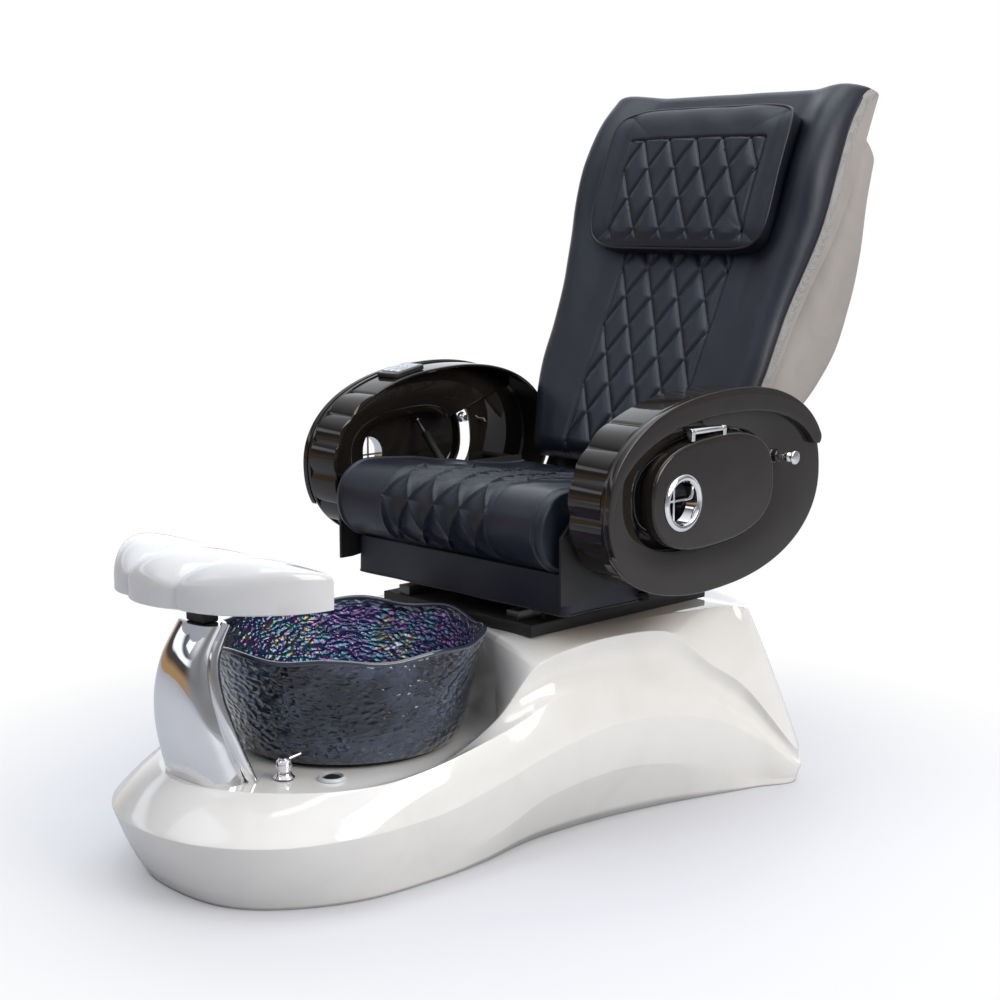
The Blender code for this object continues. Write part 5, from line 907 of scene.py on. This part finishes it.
def make_pillow(finishes):
    """The pillow: a square grid drawn in to a superellipse, puffed in front by a fourth power both ways, flat
    behind. Each row runs over its front, down its wall and back along its rear."""
    across, up = np.linspace(-1, 1, 241), np.linspace(-1, 1, 171)
    across, up = (0.75 * grid + 0.25 * np.sin(pi * grid / 2) for grid in (across, up))
    p, q = np.meshgrid(across, up)
    widest = np.maximum(abs(p), abs(q))
    power = (abs(p) ** PILLOW_POWER + abs(q) ** PILLOW_POWER) ** (1 / PILLOW_POWER)
    draw = widest / np.maximum(power, 1e-9)
    x, u = PILLOW_HALF_X * p * draw, PILLOW_U + PILLOW_HALF_U * q * draw
    behind = back_face_at(x, u) + PILLOW_GAP
    puffed = PILLOW_PUFF * np.sqrt((1 - p**4) * (1 - q**4))
    quilt = quilting(x, u - PILLOW_SEAM_U, PILLOW_QUILT_HALF) * (u < PILLOW_SEAM_U)
    quilt *= np.clip((PILLOW_HALF_U * 0.9 - abs(u - PILLOW_U)) / 0.012, 0, 1)
    line = SEAM_DEPTH * np.exp(-(((u - PILLOW_SEAM_U) / 0.003) ** 2)) * (abs(x) < PILLOW_QUILT_HALF)
    front = behind + pillow_edge(u) + puffed + quilt - line + 0.0010 * ripple(x, u, 0.11)
    drops = np.array([0.75, 0.5, 0.25])
    wall_right = behind[:, -1:] + (front - behind)[:, -1:] * drops
    wall_left = behind[:, :1] + (front - behind)[:, :1] * drops[::-1]
    rows_x, rows_u, rear_n = there_and_back(x), there_and_back(u), there_and_back(behind)
    rows_n = np.concatenate([front, wall_right, behind[:, ::-1], wall_left], 1)
    ends = [rows_n[-1] * share + rear_n[-1] * (1 - share) for share in (*drops, 0)]
    starts = [rows_n[0] * share + rear_n[0] * (1 - share) for share in (0, *drops[::-1])]
    more = ((len(starts), len(ends)), (0, 0))
    rows_x, rows_u = np.pad(rows_x, more, "edge"), np.pad(rows_u, more, "edge")
    rows_n = np.vstack([starts, rows_n, ends])
    made = surface("pillow_leather", in_back(rows_x, rows_u, rows_n), round_columns=True, sharp=70)
    dress(made, finishes["black_leather"], "back", "black_leather", "head_pillow")
    ring_x, ring_u = superellipse(np.linspace(0, 2 * pi, 360, endpoint=False), PILLOW_POWER)
    ring_x, ring_u = PILLOW_HALF_X * ring_x, PILLOW_U + PILLOW_HALF_U * ring_u
    edge = back_face_at(ring_x, ring_u) + PILLOW_GAP + pillow_edge(ring_u)
    path = in_back(ring_x, ring_u, edge)
    tube("pillow_piping", path, PIPING_R, finishes["piping"], "back", "black_leather", closed=True)


def pillow_edge(u):
    """How high the pillow's edge stands over its rear, a little more towards the top."""
    return PILLOW_EDGE + PILLOW_EDGE_RISE * (u - PILLOW_U + PILLOW_HALF_U) / (2 * PILLOW_HALF_U)


def there_and_back(grid):
    """Rows that run along a grid, stay at its end for three steps, run back and stay for three steps more."""
    stay = np.ones(3)
    return np.concatenate([grid, grid[:, -1:] * stay, grid[:, ::-1], grid[:, :1] * stay], 1)


def back_face_at(x, u):
    """The back's face at scattered places."""
    return back_face(x.reshape(-1, 1), u.reshape(-1)).reshape(x.shape)


def seat_section():
    """The seat seen from the side, as points (y, z), with the length of leather at each and the number of
    points on its roll and top, which are the ones with quilting."""
    roll = np.radians(np.linspace(262, 92, 120))
    arc = np.stack([ROLL_Y + ROLL_R * np.cos(roll), ROLL_Z + ROLL_R * np.sin(roll)], -1)
    crest, rear_y = arc[-1], SEAT_REAR_Y - SEAT_REAR_ROUND
    t = np.linspace(0, 1, 150)[1:]
    rise = t * t * (3 - 2 * t) * (SEAT_REAR_Z - crest[1])
    top = np.stack([crest[0] + t * (rear_y - crest[0]), crest[1] + rise], -1)
    turn = np.linspace(0, pi / 2, 8)[1:]
    drop = SEAT_REAR_DROP * (1 - np.cos(turn))
    corner = np.stack([rear_y + SEAT_REAR_ROUND * np.sin(turn), SEAT_REAR_Z - drop], -1)
    hidden = np.array([
        (SEAT_REAR_Y, 0.52), (SEAT_REAR_Y, SEAT_FOOT_Z), (0.15, SEAT_FOOT_Z), (ROLL_Y + 0.012, SEAT_FOOT_Z),
        (ROLL_Y - 0.004, SEAT_FOOT_Z + 0.020), (ROLL_Y - 0.006, ROLL_Z - ROLL_R - 0.004),
    ])
    points = np.vstack([arc, top, corner, hidden])
    return points, path_length(points), len(arc) + len(top)


def make_seat_cushion(finishes):
    """The seat: its side view carried across, crowned, quilted along the middle and drawn in at its ends."""
    section, length, sewn = seat_section()
    out = -inwards(section)
    out[sewn:] = 0
    middle = np.array([0.10, 0.52])
    across = np.linspace(-1, 1, 241)
    x = SEAT_HALF * (0.7 * across + 0.3 * np.sin(pi * across / 2))
    lift = SEAT_CROWN * (1 - (x / SEAT_HALF) ** 2)[:, None] + quilting(x[:, None], length[None], QUILT_HALF)
    lift += 0.0010 * ripple(x[:, None], length[None], 0.12)
    fade = np.clip(np.minimum(length / 0.03, (length[sewn] - length) / 0.02), 0, 1)
    lift = lift * fade[None]
    near_end = np.clip(1 - (SEAT_HALF - abs(x)) / 0.016, 0, 1)
    draw = 0.013 * (1 - np.sqrt(1 - np.minimum(near_end, 0.995) ** 2))[:, None]
    piping = 0.0035 * np.exp(-(((SEAT_HALF - 0.018 - abs(x)) / 0.0028) ** 2))[:, None]
    inward = unit(middle - section)
    yz = section[None] + out[None] * (lift - piping)[..., None] + inward[None] * draw[..., None]
    points = np.concatenate([np.broadcast_to(x[:, None, None], yz.shape[:2] + (1,)), yz], -1)
    made = surface("seat_leather", points, round_columns=True, caps=True, sharp=60)
    dress(made, finishes["black_leather"], "seat", "black_leather", "seat_cushion")


def make_valance(finishes):
    """The leather skirt: a strip hung round the seat's front and sides, waved a little towards its hem."""
    inner, front, corner = VALANCE_X, VALANCE_FRONT, VALANCE_CORNER
    side = np.linspace(VALANCE_REAR, front + corner, 50)
    turn = np.linspace(0, pi / 2, 7)[1:-1]
    right = np.stack([np.full(50, inner), side], -1)
    bend = np.stack([inner - corner + corner * np.cos(turn), front + corner - corner * np.sin(turn)], -1)
    across = np.linspace(inner - corner, -inner + corner, 140)
    middle = np.stack([across, np.full(140, front)], -1)
    left = np.stack([-right[::-1, 0], right[::-1, 1]], -1)
    other = np.stack([-bend[::-1, 0], bend[::-1, 1]], -1)
    path = np.vstack([right, bend, middle, other, left])
    along = unit(np.gradient(path, axis=0))
    out = np.stack([along[:, 1], -along[:, 0]], -1)
    if out[100] @ np.array([0, -1]) < 0:
        out = -out
    length = path_length(path)
    top, foot = VALANCE_TOP, VALANCE_FOOT
    heights = np.linspace(top, foot, 24)
    hang = ((top - heights) / (top - foot))[:, None]
    wave = hang * 0.0018 * np.sin(length * 2 * pi / 0.17)[None] + 0.001 * hang
    flat = path[None] + out[None] * wave[..., None]
    points = np.concatenate([flat, np.broadcast_to(heights[:, None, None], flat.shape[:2] + (1,))], -1)
    made = surface("valance_leather", points, sharp=180)
    thicken(made, VALANCE_THICK, 0)
    dress(made, finishes["black_leather"], "seat", "black_leather", "seat_valance")
    hem = tube("valance_hem", points[-1], SEAM_R, finishes["piping"], "seat", "black_leather", steps=10)


def make_back_lining(finishes):
    """A dark panel across the back's foot, just behind its cushion, that shuts the gap over the seat."""
    x, u = np.meshgrid(np.linspace(-BACK_LINING_HALF, BACK_LINING_HALF, 12), np.linspace(*BACK_LINING_U, 8))
    made = surface("back_lining", in_back(x, u, BACK_LINING_N + 0 * x), sharp=60)
    thicken(made, LINING_WALL, 0)
    dress(made, finishes["black_plastic"], "back", "black_plastic")


def make_back_shell(finishes):
    """The grey shell: across each row a box with rounded rear corners, as deep as the table says."""
    u = np.linspace(SHELL_DEPTHS[0][0], SHELL_DEPTHS[-1][0], 120)
    depth = smooth_table(SHELL_DEPTHS, u)[:, 0]
    half = back_half(u) - SHELL_INSET
    head = np.sqrt(1 - np.clip(1 - (u[-1] - u) / 0.022, 0, 1) ** 2)
    depth = 0.012 + (depth - 0.012) * (0.15 + 0.85 * head)
    turn = np.linspace(0, pi / 2, 14)
    corner = np.minimum(SHELL_CORNER, depth * 0.6)[:, None]
    side_x = half[:, None] - corner + corner * np.cos(turn)[None]
    rear = (BACK_REAR_N - 0.0008 - depth)[:, None]
    side_n = rear + corner - corner * np.sin(turn)[None]
    ones = np.ones((len(u), 1))
    wall_x, wall_n = half[:, None] * ones, (BACK_REAR_N - 0.0008) * ones
    across = np.linspace(1, -1, 30)[None, 1:-1]
    flat_x = (half[:, None] - corner) * across
    flat_n = rear - 0.004 * (1 - across**2)
    x = np.concatenate([wall_x, side_x, flat_x, -side_x[:, ::-1], -wall_x], 1)
    n = np.concatenate([wall_n, side_n, flat_n, side_n[:, ::-1], wall_n], 1)
    made = surface("shell_skin", in_back(x, u[:, None], n), sharp=60)
    thicken(made, SHELL_WALL, -1)
    dress(made, finishes["grey_plastic"], "back", "grey_plastic", "back_shell")


# ---------------------------------------------------------------- armrests


def arm_points(side, sections):
    """Points of the frame from rows of (x, (y, z) outline)."""
    return np.stack([np.concatenate([np.full((len(yz), 1), side * x), yz], 1) for x, yz in sections])


def make_arm_body(word, side, finishes):
    """The armrest: one closed section, up the ribbed wall, over the plate to the opening and back inside,
    carried round the oval."""
    turns = np.arange(0, 360, 1.0)
    plain = oval(ARM_MIDDLE, ARM_HALF, ARM_POWER, turns)
    inner = inwards(plain)
    phase = (turns - RIB_START) / RIB_SPAN
    ribs = np.where((phase >= 0) & (phase <= RIB_COUNT), abs(np.sin(pi * phase)) ** 0.8, 0.25)
    ribbed = plain - inner * (ribs * RIB_H - 0.0015)[:, None]
    half = (TRAY_HALF[0] + OPENING_MARGIN[0], TRAY_HALF[1] + OPENING_MARGIN[1])
    opening = oval(TRAY_MIDDLE, half, TRAY_POWER, turns)
    outward = -inwards(opening)
    out, flange = ARM_OUT, plain - inner * ARM_FLANGE
    rounded = [(out - ARM_ROUND * (1 - sin(turn)), flange + inner * ARM_ROUND * (1 - cos(turn)))
               for turn in np.linspace(0, pi / 2, 6)]
    sections = [
        (ARM_IN + 0.0015, ribbed + inner * 0.0004), (ARM_IN + 0.004, ribbed), (out - 0.0095, ribbed),
        (out - 0.0090, ribbed), (out - 0.0088, flange + inner * 0.0006), (out - 0.0080, flange),
        *rounded,
        (out, opening + outward * 0.003), (out - 0.0006, opening + outward * 0.0008),
        (out - 0.0025, opening),
        (out - ARM_PLATE + 0.001, opening), (out - ARM_PLATE, opening + outward * 0.002),
        (out - ARM_PLATE, plain + inner * (ARM_WALL + 0.004)),
        (out - ARM_PLATE - 0.004, plain + inner * ARM_WALL),
        (ARM_IN + 0.002, plain + inner * ARM_WALL), (ARM_IN, plain + inner * (ARM_WALL - 0.0015)),
        (ARM_IN, plain + inner * 0.0015),
    ]
    points = arm_points(side, sections)
    made = surface("armrest_skin_" + word, points, round_rows=True, round_columns=True, sharp=35)
    dress(made, finishes["gloss_black"], "seat", "gloss_black", "armrest_body_" + word)


def make_lining(word, side, finishes):
    """A dark crescent inside the armrest's front and top, from its wall to behind the tray's edge."""
    turns = np.arange(0, 360, 2.0)
    part = (turns >= LINING_TURNS[0]) & (turns <= LINING_TURNS[1])
    plain = oval(ARM_MIDDLE, ARM_HALF, ARM_POWER, turns)
    outer = (plain + inwards(plain) * (ARM_WALL + 0.001))[part]
    inner = oval(TRAY_MIDDLE, (TRAY_HALF[0] - 0.040, TRAY_HALF[1] - 0.030), TRAY_POWER, turns)[part]
    x = ARM_OUT - LINING_DEPTH
    sections = [(x, outer), (x, outer * 0.5 + inner * 0.5), (x, inner)]
    made = surface("arm_lining_" + word, arm_points(side, sections), sharp=60)
    thicken(made, LINING_WALL, 0)
    dress(made, finishes["gloss_black"], "seat", "gloss_black")


def make_visor(word, side, finishes):
    """The crescent over the plate: its width follows a sine along the oval, rounded off at both ends."""
    turns = np.linspace(*VISOR_TURNS, 260)
    outer = oval(ARM_MIDDLE, (ARM_HALF[0] + VISOR_OVER, ARM_HALF[1] + VISOR_OVER), ARM_POWER, turns)
    ends = np.clip(np.minimum(turns - turns[0], turns[-1] - turns) / 5, 0.0, 1)
    whole = VISOR_WIDE * np.sin(pi * (turns + 35) / 240)
    width = whole * np.sqrt(1 - (1 - ends) ** 2) + 0.0004
    lost = np.clip(whole - width, 0, None)
    along = unit(np.gradient(outer, axis=0))
    inner = np.stack([-along[:, 1], along[:, 0]], -1)
    start = ARM_OUT + 0.0003
    soft = np.minimum(VISOR_ROUND, width / 3)
    sections = []
    rounded = [(1 - cos(turn), VISOR_THICK + VISOR_ROUND * sin(turn)) for turn in np.linspace(0, pi / 2, 6)]
    for depth, lift in [(0.15, 0), (0, 0.001)] + rounded:
        sections.append((start + lift, outer + inner * (lost / 2 + soft * depth)[:, None]))
    for depth, lift in rounded[::-1] + [(0, 0.001), (0.15, 0)]:
        sections.append((start + lift, outer + inner * (lost / 2 + width - soft * depth)[:, None]))
    points = arm_points(side, sections).transpose(1, 0, 2)
    made = surface("visor_skin_" + word, points, round_columns=True, caps=True, sharp=35)
    dress(made, finishes["gloss_black"], "seat", "gloss_black", "armrest_visor_" + word)


def make_tray(word, side, finishes):
    """The tray: a shallow lid. One section runs from the cup's hole over the face, round the rim and back
    under it, carried round both outlines at once. Two ears hold it at the ends of its hinge."""
    turns = np.arange(0, 360, 1.0)
    edge = oval(TRAY_MIDDLE, TRAY_HALF, TRAY_POWER, turns)
    inner = inwards(edge)
    ray = unit(edge - np.array(CUP_MIDDLE))
    hole = np.array(CUP_MIDDLE) + ray * (CUP_R + 0.0006)
    low, high = TRAY_IN, TRAY_OUT
    rounded = [(high - TRAY_ROUND * (1 - cos(turn)), edge + inner * TRAY_ROUND * (1 - sin(turn)))
               for turn in np.linspace(0, pi / 2, 7)]
    sections = [
        (high - TRAY_WALL, hole), (high - 0.0010, hole), (high, hole + ray * 0.0012), *rounded,
        (low + 0.0015, edge), (low, edge + inner * 0.0015), (low, edge + inner * 0.0045),
        (low + 0.0015, edge + inner * TRAY_WALL), (high - 0.008, edge + inner * TRAY_WALL),
        (high - TRAY_WALL, edge + inner * 0.009),
    ]
    points = arm_points(side, sections)
    made = surface("tray_skin_" + word, points, round_rows=True, round_columns=True, sharp=35)
    dress(made, finishes["gloss_black"], "tray_" + word, "gloss_black", "tray_" + word)
    axes = ((side * HINGE_X, HINGE_Y, HINGE_Z), (side, 0, 0), (0, 0, 1), (0, 1, 0))
    turn = np.linspace(-10, 190, 20)
    head = np.stack([0.0062 * np.cos(np.radians(turn)), 0.0062 * np.sin(np.radians(turn))], -1)
    outline = np.vstack([head, [(-0.0052, -0.0160), (0.0052, -0.0160)]])
    for end, word_end in ((-1, "front"), (1, "rear")):
        near = end * (HINGE_LENGTH / 2 + 0.0004)
        low, high = sorted((near, near + end * 0.009))
        slab("tray_ear_%s_%s" % (word_end, word), outline, (low, high), axes, 0.0008,
             finishes["chrome"], "tray_" + word, "chrome")


def make_arm_fittings(word, side, finishes):
    """The cup's ring with a cross of two bars in its hole, and the knob on its boss."""
    axis = "X" if side > 0 else "-X"
    chrome = finishes["chrome"]
    base, lip = TRAY_IN + 0.004, TRAY_OUT + 0.0003
    ring = [
        (CUP_R + 0.010, lip), (CUP_R + 0.0102, lip + 0.0012), (CUP_R + 0.008, lip + 0.0034),
        (CUP_R + 0.004, lip + 0.0048), (CUP_R, lip + 0.0036), (CUP_R - 0.0026, lip),
        (CUP_R - 0.003, base + 0.002), (CUP_R - 0.003, base), (CUP_R, base), (CUP_R, lip),
    ]
    revolve("cup_ring_turned_" + word, ring, (0, *CUP_MIDDLE), axis, chrome, "tray_" + word, "chrome",
            "cup_ring_" + word, closed=True, steps=128)
    middle = np.array([side * (base + 0.002), *CUP_MIDDLE])
    for number, way in enumerate(((0, 1, 0), (0, 0, 1))):
        bar = [middle + share * CUP_R * np.array(way) for share in (-1, 0, 1)]
        tube("cup_bar_%d_%s" % (number + 1, word), bar, CUP_BAR_R, chrome, "tray_" + word, "chrome")
    grip = ARM_OUT + 0.0245
    knob = [(0, grip + 0.028), (0.008, grip + 0.0276), (0.0118, grip + 0.0262), (0.0128, grip + 0.0240),
            (0.0118, grip + 0.0218), (0.008, grip + 0.0204), (0.0045, grip + 0.0190)]
    ball = np.linspace(0.35 * pi / 2, 0.95 * pi, 14)
    knob += [(0.0098 * sin(turn), grip + 0.009 + 0.0098 * cos(turn)) for turn in ball]
    knob += [(0.004, grip - 0.001), (0.004, ARM_OUT - 0.030), (0, ARM_OUT - 0.030)]
    revolve("knob_turned_" + word, knob, (0, KNOB_Y, KNOB_Z), axis, chrome, "pull_knob_" + word, "chrome",
            "pull_knob_" + word)
    boss = [(0.0045, ARM_OUT + 0.012), (0.0085, ARM_OUT + 0.012), (0.0108, ARM_OUT + 0.0105),
            (0.0122, ARM_OUT + 0.002), (0.0150, ARM_OUT + 0.0002), (0.0045, ARM_OUT + 0.0002)]
    revolve("knob_boss_" + word, boss, (0, KNOB_Y, KNOB_Z), axis, finishes["gloss_black"], "seat",
            "gloss_black", closed=True)


def make_keypad(finishes):
    """The keypad's rounded case, its dark face and the small pale marks beside the keys."""
    slope = np.arctan2(*KEYPAD_SLOPE)
    along, out = (0, cos(slope), sin(slope)), (0, -sin(slope), cos(slope))
    axes = (KEYPAD_AT, (1, 0, 0), along, out)
    case = oval((0, 0), (0.033, 0.042), 7, np.arange(0, 360, 4), tilt=0)
    slab("keypad_case", case, (0, 0.0098), axes, 0.0022, finishes["black_plastic"], "seat", "grey_plastic",
         "keypad_body")
    face = oval((0, 0.008), (0.027, 0.026), 7, np.arange(0, 360, 4), tilt=0)
    slab("keypad_face", face, (0.0096, 0.0106), axes, 0.0004, finishes["keypad_face"], "seat", "grey_plastic")
    for row in range(3):
        for column in range(3):
            middle = (-0.016 + 0.016 * column, -0.006 + 0.014 * row)
            half = (0.0036, 0.0014 + 0.0008 * ((row + column) % 2))
            mark = oval(middle, half, 2.5, np.arange(0, 360, 20), tilt=0)
            slab("keypad_mark_%d" % (3 * row + column + 1), mark, (0.0105, 0.0109), axes, 0.0001,
                 finishes["pale_plastic"], "seat", "pale_plastic")


# ---------------------------------------------------------------- stage


def make_stage():
    """The floor, the world, the lamps and the camera."""
    make_floor()
    make_world()
    for name, at, size, power, colour in LAMPS:
        lamp = bpy.data.lights.new(name, "AREA")
        lamp.shape, lamp.size, lamp.energy, lamp.color = "SQUARE", size, power, colour
        put_up(name, lamp, at, Vector(LAMPS_LOOK_AT) - Vector(at))
    camera = bpy.data.cameras.new("camera")
    camera.lens, camera.sensor_width = CAMERA_LENS, CAMERA_SENSOR
    a, e = radians(CAMERA_AZIMUTH), radians(CAMERA_ELEVATION)
    back = Vector((sin(a) * cos(e), -cos(a) * cos(e), sin(e)))
    bpy.context.scene.camera = put_up("camera", camera, CAMERA_AT, -back)
    bpy.context.scene.view_settings.view_transform = "Standard"


def put_up(name, data, at, way):
    """A lamp or the camera at a place, turned to look a way."""
    held = bpy.data.objects.new(name, data)
    held.location = at
    held.rotation_mode = "QUATERNION"
    held.rotation_quaternion = way.to_track_quat("-Z", "Y")
    bpy.context.scene.collection.objects.link(held)
    return held


def make_floor():
    """A pale floor that fades into the white background with its distance from the chair."""
    turns, reach = np.linspace(0, 2 * pi, 96, endpoint=False), np.linspace(0, FLOOR_REACH, 30)[:, None]
    points = np.stack([reach * np.cos(turns), reach * np.sin(turns), 0 * reach * turns], -1)
    floor = surface("floor", points, round_columns=True, sharp=180)
    paint = material("floor_paint", (0.90, 0.90, 0.90), Roughness=0.6, Specular_IOR_Level=0.2)
    tree = paint.node_tree
    seen = put(tree, "ShaderNodeLightPath").outputs["Is Camera Ray"]
    vary(paint, "Base Color", seen, FLOOR_REFLECTED, FLOOR_SEEN)
    far = put(tree, "ShaderNodeVectorMath", {0: object_place(tree)}, operation="LENGTH").outputs["Value"]
    white = maths(tree, "MULTIPLY", between(tree, far, *FLOOR_FADE), seen)
    glow = put(tree, "ShaderNodeEmission", {"Color": (1, 1, 1, 1), "Strength": 1.0})
    shown = put(tree, "ShaderNodeMixShader",
                {0: white, 1: tree.nodes["Principled BSDF"].outputs[0], 2: glow.outputs[0]})
    tree.links.new(shown.outputs[0], tree.nodes["Material Output"].inputs["Surface"])
    floor.data.materials.append(paint)


def make_world():
    """A studio for reflections: bright overhead, dim at eye level, with a white backdrop behind the chair
    and, in front of it to its right, a dark wall with a warm foot and a bright window band. The camera
    itself sees plain white."""
    world = bpy.data.worlds.new("studio")
    bpy.context.scene.world = world
    world.use_nodes = True
    tree = world.node_tree
    tree.nodes.clear()
    way = put(tree, "ShaderNodeTexCoord").outputs["Generated"]
    height = put(tree, "ShaderNodeSeparateXYZ", {0: way}).outputs["Z"]
    sky = [(at, tuple(value * tint for tint in SKY_TINT)) for at, value in SKY]
    lit = mixed(tree, facing(tree, way, BACKDROP_WAY, BACKDROP_EDGES),
                ramp(tree, between(tree, height, -1.0, 1.0), sky), BACKDROP)
    room = mixed(tree, facing(tree, way, WALL_WAY, WALL_EDGES), lit, ramp(tree, height, WALL))
    glow = put(tree, "ShaderNodeBackground", {"Color": room, "Strength": 1.0})
    white = put(tree, "ShaderNodeBackground", {"Color": (1, 1, 1, 1), "Strength": 1.0})
    seen = put(tree, "ShaderNodeLightPath").outputs["Is Camera Ray"]
    shown = put(tree, "ShaderNodeMixShader", {0: seen, 1: glow.outputs[0], 2: white.outputs[0]})
    tree.links.new(shown.outputs[0], tree.nodes.new("ShaderNodeOutputWorld").inputs["Surface"])


def facing(tree, way, direction, edges):
    """How near a direction of the world lies to a given one, from 0 to 1 between two cosines."""
    near = put(tree, "ShaderNodeVectorMath", {0: way, 1: direction}, operation="DOT_PRODUCT")
    return between(tree, near.outputs["Value"], *edges)


def main():
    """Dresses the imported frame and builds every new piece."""
    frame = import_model()
    finishes = make_materials()
    dress_nodes(frame, finishes)
    make_stage()
    make_base(finishes)
    make_bowl(finishes)
    make_deck(finishes)
    make_post(finishes)
    make_pad(finishes)
    make_back_cushion(finishes)
    make_pillow(finishes)
    make_seat_cushion(finishes)
    make_valance(finishes)
    make_back_shell(finishes)
    make_back_lining(finishes)
    for word, side in (("left", 1), ("right", -1)):
        make_arm_body(word, side, finishes)
        make_lining(word, side, finishes)
        make_visor(word, side, finishes)
        make_tray(word, side, finishes)
        make_arm_fittings(word, side, finishes)
    make_keypad(finishes)


main()
